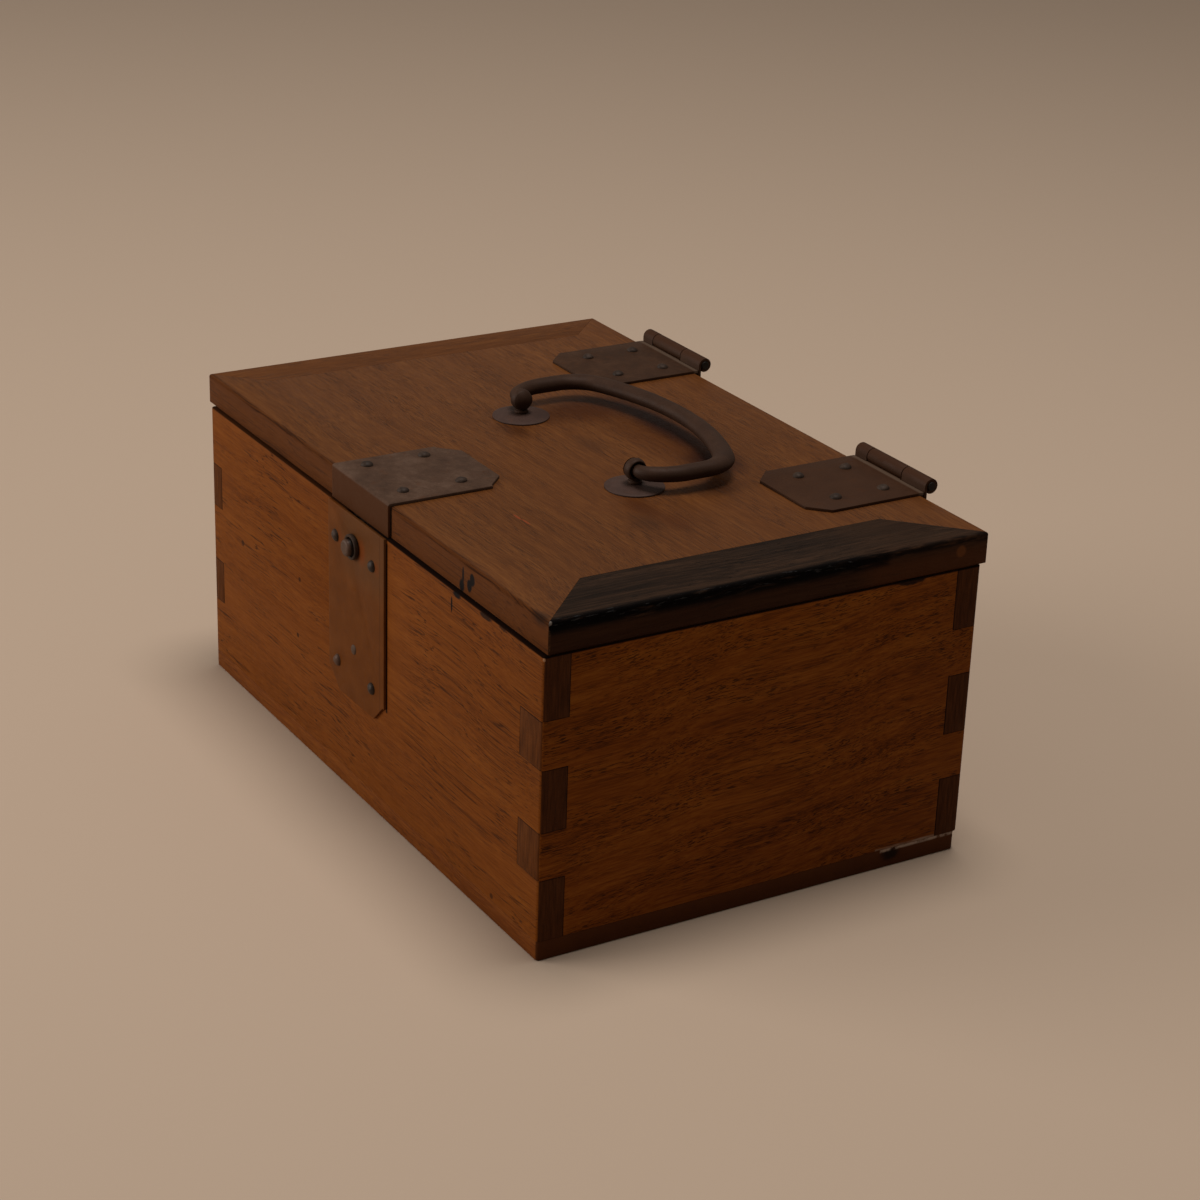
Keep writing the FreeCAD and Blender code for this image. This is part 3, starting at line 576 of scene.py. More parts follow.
def lidPanel():
    mitreX = (lid["left"] + lid["leftStrip"], lid["right"] - lid["rightStrip"])
    panel = block("lidPanel", (mitreX[0], lid["front"], lid["base"]), (mitreX[1], lid["back"], lid["top"]))
    editing(panel)
    cutAlong((0, 0, 0), (1, 0, 0))
    for side, strip, outer in ((1, lid["rightStrip"], mitreX[1]), (-1, lid["leftStrip"], mitreX[0])):
        for edge, way in ((lid["front"], 1), (lid["back"], -1)):
            # cut square at the mitre's foot, drawn out, and the inner corner pushed back to a point
            corner = edge + way * strip
            pick(panel, faces=lambda c, n: c.x * side > 0 and not near(c.x, 0))
            bpy.ops.mesh.bisect(plane_co=at(0, corner, 0), plane_no=(0, 1, 0))
            pick(panel, faces=lambda c, n: n.x * side > 0.9 and near(c.x, outer) and abs(c.y - edge) < strip)
            extrude((side * strip, 0, 0))
            pick(panel, verts=lambda p: near(p.x, outer + side * strip) and near(p.y, corner))
            bpy.ops.transform.translate(value=at(-side * strip, 0, 0))
    bpy.ops.mesh.select_all(action="SELECT")
    bpy.ops.mesh.remove_doubles(threshold=0.002 * mm)
    roundTop(panel, lambda p: near(p.y, lid["front"]) or near(p.y, lid["back"]))
    return tidyNormals(done(panel))


def lidStrip(name, outer, strip, side):
    low = min(outer, outer - side * strip)
    piece = block(name, (low, lid["front"], lid["base"]), (low + strip, lid["back"], lid["top"]))
    editing(piece)
    for edge, way in ((lid["front"], -1), (lid["back"], 1)):
        cutAlong((outer, edge, 0), (-side, way, 0), clear=True)
    roundTop(piece, lambda p: near(p.x, outer))
    return tidyNormals(done(piece))


panel = lidPanel()
rightStrip = lidStrip("rightStrip", lid["right"], lid["rightStrip"], 1)
leftStrip = lidStrip("leftStrip", lid["left"], lid["leftStrip"], -1)
striker = {"front": -75.25, "reach": 14, "width": 12, "thick": 1.2}
half = striker["width"] / 2
carve(panel, block("strikerCutter", (lock["x"] - half, lid["front"] - 1, lid["base"] - 1),
                   (lock["x"] + half, striker["front"] + striker["reach"], lid["base"] + striker["thick"])))
for piece in (panel, rightStrip, leftStrip):
    soften(piece, lid["joint"])
    smooth(piece)
alongX = (0, math.radians(90), 0)
peg = rod("stripPeg", lid["pegRadius"], lid["pegLength"],
          (lid["right"] - lid["pegLength"] / 2, lid["pegY"], lid["pegZ"]), turn=alongX, sides=24)
editing(peg)
pick(peg, faces=lambda c, n: n.x > 0.9)
inset(lid["pegRim"], -lid["pegSink"])
done(peg)
smooth(soften(peg, lid["pegArris"]))
print("lid done")


# sheet iron: strap, lock plate and hinge leaves

def clippedSheet(name, width, length, thick, clip, step=0.0):
    # a sheet on the XY plane, plain at y = 0 and with clipped corners at the far end
    obj = block(name, (step, 0, 0), (width - step, length, thick))
    editing(obj)
    cutAlong((step, length - clip, 0), (-clip, clip - step, 0), clear=True)
    cutAlong((width - step, length - clip, 0), (clip, clip - step, 0), clear=True)
    if step:
        cutAlong((0, length - clip, 0), (0, 1, 0))
        for side in (-1, 1):
            pick(obj, faces=lambda c, n: n.x * side > 0.9 and c.y < length - clip)
            extrude((side * step, 0, 0))
    return tidyNormals(done(obj))


def place(obj, turn, to):
    obj.rotation_euler = turn
    obj.location = at(*to)
    return settle(obj)


def finishSheet(obj, waviness, seed, edge=0.16):
    soften(obj, edge, 2, 30)
    unevenness(obj, waviness, 9, seed)
    return smooth(obj, 30)


onFace = (math.radians(-90), 0, 0)
width = lock["plateRight"] - lock["plateLeft"]
drop = box["top"] - lock["plateBottom"]
plateFace = box["front"] - lock["sheet"]

strap = clippedSheet("lidStrap", width, lock["strapReach"], lock["sheet"], lock["clip"], lock["step"])
place(strap, (0, 0, 0), (lock["plateLeft"], lid["front"] - lock["sheet"], lid["top"]))
editing(strap)
cutAlong((0, lid["front"], 0), (0, 1, 0))
pick(strap, faces=lambda c, n: n.z < -0.9 and c.y < lid["front"])
extrude((0, 0, lid["base"] - lid["top"]))
bend = Vector((0, lid["front"] - lock["sheet"], lid["top"] + lock["sheet"]))
pick(strap, edges=lambda a, b: all(near(p.y, bend.y) and near(p.z, bend.z) for p in (a, b)))
bevelEdges(lock["strapBend"], 5)
done(strap)
finishSheet(strap, 0.06, 3)

plate = clippedSheet("lockPlate", width, drop, lock["sheet"], lock["clip"], lock["step"])
place(plate, onFace, (lock["plateLeft"], plateFace, box["top"]))
facingFront = (math.radians(90), 0, 0)
carve(plate, rod("buttonCutter", lock["buttonHole"], 6, (lock["x"], box["front"], lock["buttonZ"]),
                 turn=facingFront, sides=40))
finishSheet(plate, 0.05, 8)

hinge = {"width": 38, "front": 38.8, "leafEnd": 80.0, "axisY": 82.8, "axisZ": 111.5, "wrap": 307,
         "knuckleFrom": 6.65, "knuckleTo": 25.15, "gap": 0.3, "clip": 6.2, "sheet": 1.0,
         "starts": (-88.1, 45.3), "bottom": 58.5,
         "nailsX": (8.6, 29.4), "nailsY": (52.0, 70.4), "boxNailsZ": (88.5, 68.5),
         "crankBottom": 94.5, "backSheet": 80.3, "pinRadius": 1.45, "pinOver": 0.4,
         "pinRim": 0.4, "pinArris": 0.25}
bothEnds = tuple(zip(("Left", "Right"), hinge["starts"]))


def rollUp(obj, faces, angle):
    # spin turns against the right-hand rule about its axis
    pick(obj, faces=faces)
    bpy.ops.mesh.spin(steps=22, angle=math.radians(angle), axis=(1, 0, 0),
                      center=at(0, hinge["axisY"], hinge["axisZ"]))


def lidLeaf(name):
    reach = hinge["leafEnd"] - hinge["front"]
    leaf = clippedSheet(name, hinge["width"], reach, hinge["sheet"], hinge["clip"])
    place(leaf, (0, 0, math.radians(180)), (hinge["width"], hinge["leafEnd"], lid["top"]))
    editing(leaf)
    cutAlong((hinge["knuckleFrom"], 0, 0), (1, 0, 0))
    cutAlong((hinge["knuckleTo"], 0, 0), (1, 0, 0))
    middle = (hinge["knuckleFrom"] + hinge["knuckleTo"]) / 2
    pick(leaf, faces=lambda c, n: n.y > 0.9 and near(c.x, middle, 1))
    extrude((0, hinge["axisY"] - hinge["leafEnd"], 0))
    rollUp(leaf, lambda c, n: n.y > 0.9 and near(c.x, middle, 1), -hinge["wrap"])
    return done(leaf)


def boxLeaf(name):
    height = hinge["crankBottom"] - hinge["bottom"]
    leaf = clippedSheet(name, hinge["width"], height, hinge["sheet"], hinge["clip"])
    place(leaf, onFace, (0, box["back"], hinge["crankBottom"]))
    editing(leaf)
    cuts = (hinge["knuckleFrom"] - hinge["gap"], hinge["knuckleTo"] + hinge["gap"])
    for cut in cuts:
        cutAlong((cut, 0, 0), (1, 0, 0))
    pick(leaf, faces=lambda c, n: n.z > 0.9 and near(c.z, hinge["crankBottom"]))
    extrude((0, hinge["backSheet"] - box["back"], box["top"] - hinge["crankBottom"]))
    extrude((0, 0, lid["top"] - 2 * hinge["gap"] - box["top"]))
    pick(leaf, faces=lambda c, n: n.z > 0.9 and c.z > lid["top"] - 1 and not cuts[0] < c.x < cuts[1])
    extrude((0, 0, hinge["axisZ"] - lid["top"] + 2 * hinge["gap"]))
    rollUp(leaf, lambda c, n: n.z > 0.9 and near(c.z, hinge["axisZ"]), hinge["wrap"])
    return done(leaf)


def movedCopy(obj, name, x):
    made = obj.copy()
    made.data = obj.data.copy()
    bpy.context.scene.collection.objects.link(made)
    made.name = name
    made.data.name = name
    made.location = at(x, 0, 0)
    return settle(made)


firstLidLeaf = lidLeaf("lidLeafLeft")
firstBoxLeaf = boxLeaf("boxLeafLeft")
lidLeaves = [movedCopy(firstLidLeaf, "lidLeaf" + end, x) for end, x in bothEnds]
boxLeaves = [movedCopy(firstBoxLeaf, "boxLeaf" + end, x) for end, x in bothEnds]
bpy.data.objects.remove(firstLidLeaf)
bpy.data.objects.remove(firstBoxLeaf)
for seed, leaf in enumerate(lidLeaves + boxLeaves):
    finishSheet(leaf, 0.04, 11 + seed * 4, 0.13)
pins = []
for end, x in bothEnds:
    pin = rod("hingePin" + end, hinge["pinRadius"], hinge["width"] + 2 * hinge["pinOver"],
              (x + hinge["width"] / 2, hinge["axisY"], hinge["axisZ"]), turn=alongX, sides=28)
    editing(pin)
    for side in (-1, 1):
        pick(pin, faces=lambda c, n: n.x * side > 0.9)
        inset(hinge["pinRim"])
    done(pin)
    pins.append(smooth(soften(pin, hinge["pinArris"], 3)))
print("sheet iron done")


# nails, rosettes, button

def dome(name, radius, height, spot, facing, seed):
    # a hammered head: half a ball, flattened, a little uneven and tilted
    deselectAll()
    bpy.ops.mesh.primitive_uv_sphere_add(segments=24, ring_count=16, radius=mm)
    head = bpy.context.object
    head.name = name
    editing(head)
    cutAlong((0, 0, 0), (0, 0, -1), clear=True)
    done(head)
    chance = random.Random(seed)
    head.scale = (radius * chance.uniform(0.93, 1.05), radius * chance.uniform(0.93, 1.05), height)
    head.rotation_euler = (0, 0, chance.uniform(0, 3))
    settle(head)
    unevenness(head, height * 0.10, radius * 0.8, seed)
    tilt = Matrix.Rotation(chance.uniform(-0.05, 0.05), 4, "X")
    tilt = tilt @ Matrix.Rotation(chance.uniform(-0.05, 0.05), 4, "Y")
    turn = Vector((0, 0, 1)).rotation_difference(Vector(facing)).to_matrix().to_4x4()
    head.matrix_world = Matrix.Translation(at(*spot)) @ turn @ tilt
    settle(head)
    return smooth(head, 60)


def nailSet(name, spots, facing, radius, height, seed):
    heads = [dome(name + str(k), radius, height, spot, facing, seed + k) for k, spot in enumerate(spots)]
    return merge(heads, name)


def onLid(name, xs, ys, seed):
    spots = [(x, y, lid["top"] + lock["sheet"]) for x in xs for y in ys]
    return nailSet(name, spots, (0, 0, 1), lock["nailRadius"], lock["nailHeight"], seed)


def onBack(name, xs, zs, seed):
    spots = [(x, box["back"] + hinge["sheet"], z) for x in xs for z in zs]
    return nailSet(name, spots, (0, 1, 0), lock["nailRadius"], lock["nailHeight"], seed)


strapNails = onLid("strapNails", lock["strapNailsX"], lock["strapNailsY"], 5)
plateNails = nailSet("plateNails", [(x, plateFace, z) for x, z in lock["plateNails"]], (0, -1, 0),
                     lock["nailRadius"], lock["plateNailHeight"], 15)
footRivet = dome("footRivet", lock["rivetRadius"], lock["rivetHeight"],
                 (lock["x"], plateFace, lock["rivetZ"]), (0, -1, 0), 25)
lidNails = [onLid("lidLeafNails" + end, [x + dx for dx in hinge["nailsX"]], hinge["nailsY"], 31 + x)
            for end, x in bothEnds]
boxNails = [onBack("boxLeafNails" + end, [x + dx for dx in hinge["nailsX"]], hinge["boxNailsZ"], 51 + x)
            for end, x in bothEnds]

collar = rod("buttonCollar", lock["collarRadius"], lock["collarHeight"],
             (lock["x"], plateFace - lock["collarHeight"] / 2, lock["buttonZ"]), turn=facingFront, sides=48)
carve(collar, rod("collarCutter", lock["buttonHole"], 6, (lock["x"], plateFace, lock["buttonZ"]),
                  turn=facingFront, sides=48))
smooth(soften(collar, lock["collarArris"], 4))
tip = Vector((lock["x"], plateFace - lock["buttonReach"], lock["buttonZ"]))
button = rod("pushButton", lock["buttonRadius"], lock["buttonLength"],
             tip + Vector((0, lock["buttonLength"] / 2, 0)), turn=facingFront, sides=40)
editing(button)
pick(button, faces=lambda c, n: n.y < -0.9)
inset(lock["buttonInset"])
pick(button, edges=lambda a, b: all(near(p.y, tip.y) and (p - tip).length > lock["buttonRadius"] - 0.1
                                    for p in (a, b)))
bevelEdges(lock["buttonArris"], 5)
done(button)
smooth(button, 50)

handle = {"y": 1.0, "z": 115.0, "halfSpan": 37.0, "rosette": 9.7, "rosetteEdge": 0.5, "rosetteDome": 1.0,
          "eyeRadius": 3.0, "eyeRod": 0.6, "eyeWidth": 3.4, "shank": 1.7, "neck": 2.3, "neckBase": 110.4,
          "neckTop": 111.5, "legReach": 9, "legWidth": 2.4, "legThick": 1.2, "slit": 0.4,
          "rodEnd": 2.1, "rodMiddle": 2.9, "rodShoulder": 3.7, "rodHeight": 2.6,
          "headGap": 0.15, "headRadius": 3.3, "headHeight": 1.5, "bendStart": 0.2, "bendRadius": 5,
          "bendTurn": 51, "sideRadius": 17, "sideLength": 7.4, "cornerRadius": 13, "cornerTurn": 65,
          "step": 1.4, "rosetteArris": 0.12, "neckArris": 0.3, "legArris": 0.25}


def domedWasher(name, x):
    # a flat disc whose face is inset ring by ring, each a step higher along a parabola
    washer = rod(name, handle["rosette"], handle["rosetteEdge"],
                 (x, handle["y"], lid["top"] + handle["rosetteEdge"] / 2), sides=64)
    editing(washer)
    pick(washer, faces=lambda c, n: n.z > 0.9)
    steps = 7
    for k in range(1, steps):
        rise = (1 - (k - 1) / steps) ** 2 - (1 - k / steps) ** 2
        inset(handle["rosette"] / steps, handle["rosetteDome"] * rise)
    return done(washer)


def splitEye(name, x):
    # the loop, the slit shank, the neck on the rosette and two legs clinched under the lid
    deselectAll()
    bpy.ops.mesh.primitive_torus_add(
        location=at(x, handle["y"], handle["z"]), rotation=alongX, major_segments=48, minor_segments=20,
        major_radius=handle["eyeRadius"] * mm, minor_radius=handle["eyeRod"] * mm)
    loop = bpy.context.object
    loop.scale = (1, 1, handle["eyeWidth"] / 2 / handle["eyeRod"])
    settle(loop)
    bottom = lid["base"] - handle["legThick"]
    top = handle["z"] - handle["eyeRadius"]
    shank = rod("shank", handle["shank"], top - bottom, (x, handle["y"], (top + bottom) / 2), sides=28)
    carve(shank, block("slitCutter", (x - 3, handle["y"] - handle["slit"] / 2, bottom - 1),
                       (x + 3, handle["y"] + handle["slit"] / 2, top + 1)))
    neck = rod("neck", handle["neck"], handle["neckTop"] - handle["neckBase"],
               (x, handle["y"], (handle["neckBase"] + handle["neckTop"]) / 2), sides=28)
    parts = [loop, shank, soften(neck, handle["neckArris"])]
    half = handle["legWidth"] / 2
    for way in (-1, 1):
        far = handle["y"] + way * handle["legReach"]
        low, high = sorted((handle["y"] + way * handle["slit"] / 2, far))
        leg = block("leg", (x - half, low, bottom), (x + half, high, lid["base"]))
        editing(leg)
        pick(leg, faces=lambda c, n: n.y * way > 0.9)
        bpy.ops.transform.resize(value=(0.5, 1, 0.6), center_override=at(x, far, lid["base"]))
        done(leg)
        parts.append(soften(leg, handle["legArris"]))
    return merge(parts, name)


rosettes = []
eyes = []
for end, side in (("Left", -1), ("Right", 1)):
    x = side * handle["halfSpan"]
    rosette = domedWasher("rosette" + end, x)
    unevenness(rosette, 0.06, 5, 61 + side)
    rosettes.append(smooth(soften(rosette, handle["rosetteArris"]), 50))
    eyes.append(smooth(splitEye("handleEye" + end, x), 50))


# the bail: extruded round its bends step by step, then mirrored

def halfSizes(heading):
    # half the rod's width and height: round in the eyes, widest at the shoulders
    grown = min(1, heading / math.radians(90))
    shoulder = max(0, math.sin(2 * heading - math.pi))
    width = handle["rodEnd"] + (handle["rodMiddle"] - handle["rodEnd"]) * grown
    width += (handle["rodShoulder"] - handle["rodMiddle"]) * shoulder
    return width, handle["rodEnd"] + (handle["rodHeight"] - handle["rodEnd"]) * grown


def bailStations():
    # x, reach, heading and half sizes from the domed head of the right stub to the middle
    flat = handle["halfSpan"] - handle["eyeWidth"] / 2 - handle["headGap"]
    ball = (handle["headRadius"] ** 2 + handle["headHeight"] ** 2) / (2 * handle["headHeight"])
    stations = []
    for angle in range(12, 91, 13):
        radius = handle["headRadius"] * math.sin(math.radians(angle))
        drop = math.sqrt(ball ** 2 - radius ** 2) - (ball - handle["headHeight"])
        stations.append((flat - drop, 0.0, 0.0, radius, radius))
    stations.append((flat, 0.0, 0.0, handle["rodEnd"], handle["rodEnd"]))
    bendTurn, cornerTurn = math.radians(handle["bendTurn"]), math.radians(handle["cornerTurn"])
    quarter = math.radians(90)
    # straight stretches have no radius, and the last bend takes the one that ends it at the middle
    bends = [(None, handle["eyeWidth"] + handle["headGap"] + handle["bendStart"]),
             (handle["bendRadius"], bendTurn), (handle["sideRadius"], quarter - bendTurn),
             (None, handle["sideLength"]), (handle["cornerRadius"], cornerTurn),
             ("rest", quarter - cornerTurn)]
    x, reach, heading = flat, 0.0, 0.0
    for radius, amount in bends:
        if radius == "rest":
            radius = x / math.sin(heading)
        length = amount * radius if radius else amount
        steps = max(1, round(length / handle["step"]))
        for _ in range(steps):
            if radius:
                after = heading + amount / steps
                x += radius * (math.sin(after) - math.sin(heading))
                reach += radius * (math.cos(heading) - math.cos(after))
                heading = after
            else:
                x += amount / steps * math.cos(heading)
                reach += amount / steps * math.sin(heading)
            stations.append((x, reach, heading, *halfSizes(heading)))
    return stations


def bail():
    stations = bailStations()
    x, reach, heading, wide, high = stations[0]
    deselectAll()
    bpy.ops.mesh.primitive_circle_add(vertices=28, radius=wide * mm, fill_type="NGON",
                                      location=at(x, handle["y"], handle["z"]), rotation=alongX)
    obj = bpy.context.object
    obj.name = "bail"
    settle(obj)
    editing(obj)
    bpy.ops.mesh.select_mode(type="FACE")
    bpy.ops.mesh.select_all(action="SELECT")
    for x1, r1, h1, w1, t1 in stations[1:]:
        extrude((x1 - x, r1 - reach, 0))
        spot = at(x1, handle["y"] + r1, handle["z"])
        # the angle is negative because rotate turns the other way with no window
        bpy.ops.transform.rotate(value=heading - h1, orient_axis="Z", orient_type="GLOBAL",
                                 center_override=spot)
        bpy.ops.transform.resize(value=(w1 / wide, w1 / wide, t1 / high), center_override=spot)
        x, reach, heading, wide, high = x1, r1, h1, w1, t1
    bpy.ops.mesh.delete(type="ONLY_FACE")
    done(obj)
    tool = obj.modifiers.new("other half", "MIRROR")
    tool.use_axis = (True, False, False)
    tool.use_clip = True
    tool.merge_threshold = 0.01 * mm
    choose(obj)
    bpy.ops.object.modifier_apply(modifier=tool.name)
    return tidyNormals(obj)


bailRod = bail()
unevenness(bailRod, 0.07, 11, 71)
smooth(bailRod, 60)
print("iron work done")


# wood finishes

sideJoints = (box["right"], (innerY[0], innerY[1]))  # finger ends on the box's two ends
faceJoints = (box["back"], (innerX[0], innerX[1]))  # finger ends on its front and back
anywhere = (None,) * 3
skin = 0.7  # how deep a mark on one face reaches
frontFace = box["front"] + 0.05
rim = box["top"] - 0.35
# painted shade of the seam under the lid: the boards' top edges darkened, near black on the outer faces
seamShade = [boxMark((None, None, rim), anywhere, 0.5, (60, 31, 11), soft=0.3)]
for low, high in (((None, None, box["top"] - 0.1), (lock["x"], lid["front"] + 0.5, None)),
                  ((lock["x"], None, rim), (None, lid["front"] + 0.5, None)),
                  ((box["right"] - skin, None, rim), anywhere), ((None, box["back"] - 0.65, rim), anywhere),
                  ((None, None, rim), (box["left"] + skin, None, None))):
    seamShade.append(boxMark(low, high, 0.95, (6, 2, 1), soft=0.25, rough=0.4))
ink = (15, 10, 9)
dust = (150, 128, 112)

# every wood starts from this one; a finish names only what differs
warmWood = {"grain": "x", "seed": 1.0, "shades": ((74, 35, 7), (107, 56, 15), (131, 75, 25)),
            "bands": 0.35, "streaks": 0.28, "fibres": 0.65, "wander": 7, "slant": 0,
            "rings": 0.12, "ringWidth": 6.0, "ringWave": 1.6, "pith": (0, -160, -60),
            "pores": 0.5, "poreColour": (50, 23, 7), "poreCut": 0.56, "poreLength": 5, "poreWidth": 0.34,
            "cracks": 0.6, "crackColour": (36, 16, 6), "crackFrom": 0.5, "crackWidth": 0.013,
            "cloud": 0.35, "cloudColour": (84, 43, 9), "roughness": 0.6, "bump": 0.4, "specular": 0.045,
            "ends": None, "endColours": ((44, 22, 9), (70, 38, 18)), "marks": ()}
spots = [blotMark((x, frontFace, z), (wide, 4, high), strength, colour)
         for x, z, wide, high, strength, colour in (
             (-92.5, 56.6, 1.2, 1.0, 0.75, (36, 18, 8)), (-45.8, 60.5, 0.9, 0.8, 0.75, (36, 18, 8)),
             (-47.7, 39.5, 0.9, 0.8, 0.8, (30, 15, 8)), (-48.7, 4.1, 1.0, 0.9, 0.8, (30, 15, 8)),
             (89.9, 8.2, 1.0, 0.9, 0.7, (30, 15, 8)))]
frontLook = {
    **warmWood, "ends": sideJoints, "pores": 0.3, "cracks": 0.75, "crackFrom": 0.44, "crackWidth": 0.016,
    "crackColour": (30, 13, 5), "marks": [
        *seamShade,
        # painted shadow in the gap beside the plate
        boxMark((lock["plateRight"] - 0.3, None, lock["plateBottom"] + 5),
                (lock["plateRight"] + 0.6, -77, 97), 1.0, (8, 4, 2), soft=0.25),
        boxMark((30, None, 26), (114, None, 96), 0.65, (40, 18, 6), 6, (160, 0.42), cut=0.59, edge=0.05),
        boxMark((60, None, 94), (118, -77, None), 0.75, (50, 23, 8), 1.5, (18, 0.5), cut=0.5),
        blotMark((62.3, frontFace, 93.4), (0.5, 4, 2.6), 1.0, ink, soft=0.15, ragged=0.1),
        blotMark((65.6, frontFace, 97.6), (2.4, 4, 0.9), 1.0, ink),
        # pale spot on the chipped near top corner: partly the chip, partly a painted highlight
        blotMark((117.7, -77.1, 97.6), (0.5, 0.5, 0.6), 0.7, (170, 128, 96)),
        blotMark((83.4, frontFace, 97.6), (3.6, 4, 0.8), 0.9, (26, 14, 8), ragged=0.7),
        blotMark((94.0, frontFace, 97.9), (2.2, 4, 0.5), 0.8, (26, 14, 8), ragged=0.7),
        *spots]}
backLook = {**warmWood, "seed": 4.0, "pith": (0, 150, -80), "ends": sideJoints, "marks": seamShade}
endLook = {
    **warmWood, "grain": "y", "seed": 7.0, "shades": ((66, 30, 6), (108, 55, 11), (134, 77, 24)),
    "bands": 0.5, "streaks": 0.75, "fibres": 0.75, "rings": 0.15,
    "ringWidth": 9.0, "ringWave": 2.6, "pith": (170, 0, 130), "wander": 9, "slant": 0.09, "pores": 0.8,
    "poreCut": 0.54, "poreLength": 4.5, "poreWidth": 0.3, "poreColour": (34, 15, 5), "cracks": 0.5,
    "cloud": 0.6, "cloudColour": (72, 35, 9), "ends": faceJoints,
    "endColours": ((60, 30, 9), (90, 49, 19)), "marks": [
        *seamShade,
        boxMark((box["right"] - skin, -20, 10), (None, 62, 46), 0.6, (32, 14, 4), 12, (110, 0.9),
                cut=0.575, edge=0.06),
        blotMark((box["right"], 50.8, 98), (4, 5, 1.0), 0.9, (18, 9, 5), ragged=0.8),
        boxMark((box["right"] - skin, 45, None), (None, 77, 7.3), 0.75, dust, 0.3, (16, 3))]}
leftEndLook = {**endLook, "seed": 12.0, "pith": (-190, 0, 30), "marks": seamShade}
bottomLook = {
    **warmWood, "seed": 17.0, "shades": ((74, 35, 7), (99, 51, 17), (131, 75, 25)), "marks": [
        boxMark((117.2, None, None), anywhere, 0.85, (60, 31, 14), 0.3),
        boxMark(anywhere, (-117.2, None, None), 0.85, (60, 31, 14), 0.3),
        blotMark((box["right"], 51, 4.4), (4, 3.4, 2.0), 0.9, (20, 12, 8), 0.5, 0.5),
        boxMark((116.6, 47, 5.6), (None, 76, None), 0.85, dust, 0.35, (16, 3), cut=0.33)]}

# the lid: its worn front edge, ink, a scratch, the stains round the handle and painted shadow under the bail
lidFrontMarks = [
    boxMark(anywhere, (None, lid["front"] + 0.6, None), 0.6, (82, 40, 4), 0.5, rough=0.25),
    boxMark(anywhere, (None, lid["front"] + 0.4, None), 0.65, (42, 20, 6), 0.4, (50, 0.5),
            cut=0.55, edge=0.12),
    boxMark((None, None, lid["top"] - 0.9), (None, lid["front"] + 0.9, None), 0.4, (58, 30, 11), 0.5,
            rough=0.3),
    boxMark((None, None, lid["top"] - 1.3), (None, lid["front"] + 1.2, None), 0.75, (32, 15, 6), 0.5,
            (22, 0.5), cut=0.5, edge=0.1, rough=0.3)]
lidInk = [blotMark((x, lid["front"], z), (wide, deep, high), 1.0, ink, soft, ragged)
          for x, z, wide, deep, high, soft, ragged in (
              (66.6, 104.2, 0.55, 3, 2.6, 0.15, 0.1), (65.9, 100.6, 1.5, 4, 2.0, 0.3, 0.3),
              (72.3, 104.6, 1.5, 4, 2.0, 0.2, 0.3), (70.6, 102.2, 1.4, 4, 2.0, 0.2, 0.3))]
lidStainsAndBailShadow = [blotMark((x, y, lid["top"]), (wide, deep, 3), strength, colour, soft, ragged)
             for x, y, wide, deep, strength, colour, soft, ragged in (
                 (43.5, -44.9, 2.4, 0.4, 0.8, (128, 56, 26), 0.3, 0.3),
                 (48.2, -44.4, 2.4, 0.35, 0.8, (128, 56, 26), 0.3, 0.3),
                 (-2.9, 8.1, 7, 4, 0.4, (52, 28, 12), 0.8, 0.8),
                 (65, -11.5, 7, 4, 0.45, (48, 26, 12), 0.8, 0.8),
                 # from here: painted shadow under the bail; the first two are orange-brown, partly a rust
                 # stain and partly painted shade
                 (2, 36, 36, 11, 0.5, (62, 27, 2), 0.7, 0.2),
                 (-34, 23, 11, 15, 0.65, (52, 18, 0), 0.7, 0.2),
                 (-8, 39.5, 30, 5.5, 0.8, (26, 2, 0), 0.7, 0.2),
                 (28, 36, 10, 7.5, 0.85, (26, 2, 0), 0.7, 0.2),
                 (47, 24, 7, 8, 0.55, (26, 4, 0), 0.7, 0.2),
                 # stains round the rosettes
                 (-26, -8, 7, 4.4, 0.55, (50, 20, 0), 0.7, 0.2),
                 (53, -6, 9, 4, 0.6, (62, 26, 0), 0.7, 0.2),
                 (68, -2.5, 7, 4, 0.45, (66, 28, 2), 0.7, 0.2))]
lidLook = {
    **warmWood, "seed": 22.0, "shades": ((62, 34, 12), (87, 48, 17), (112, 68, 29)),
    "bands": 0.3, "streaks": 0.3, "fibres": 0.75, "rings": 0.08,
    "pith": (0, 40, 240), "pores": 0.6, "poreCut": 0.55, "poreLength": 7, "poreColour": (46, 24, 9),
    "cracks": 0.3, "cloud": 0.5, "cloudColour": (72, 42, 20), "roughness": 0.5, "specular": 0.11, "marks": [
        *lidFrontMarks,
        # painted shadow in the gap beside the strap's right edge
        boxMark((lock["plateRight"] - 0.5, None, lid["base"] + 0.6),
                (lock["plateRight"] + 0.6, lid["front"] + 1.5, lid["top"] - 0.4), 1.0, (8, 4, 2), 0.25),
        *lidInk,
        blotMark((112.5, -75.6, 108.4), (4, 2, 2), 0.7, (28, 17, 11), 0.7, 0.7),
        *lidStainsAndBailShadow]}
leftStripLook = {**lidLook, "grain": "y", "seed": 37.0, "shades": ((62, 34, 12), (89, 50, 21), (112, 68, 29)),
                 "marks": lidFrontMarks}
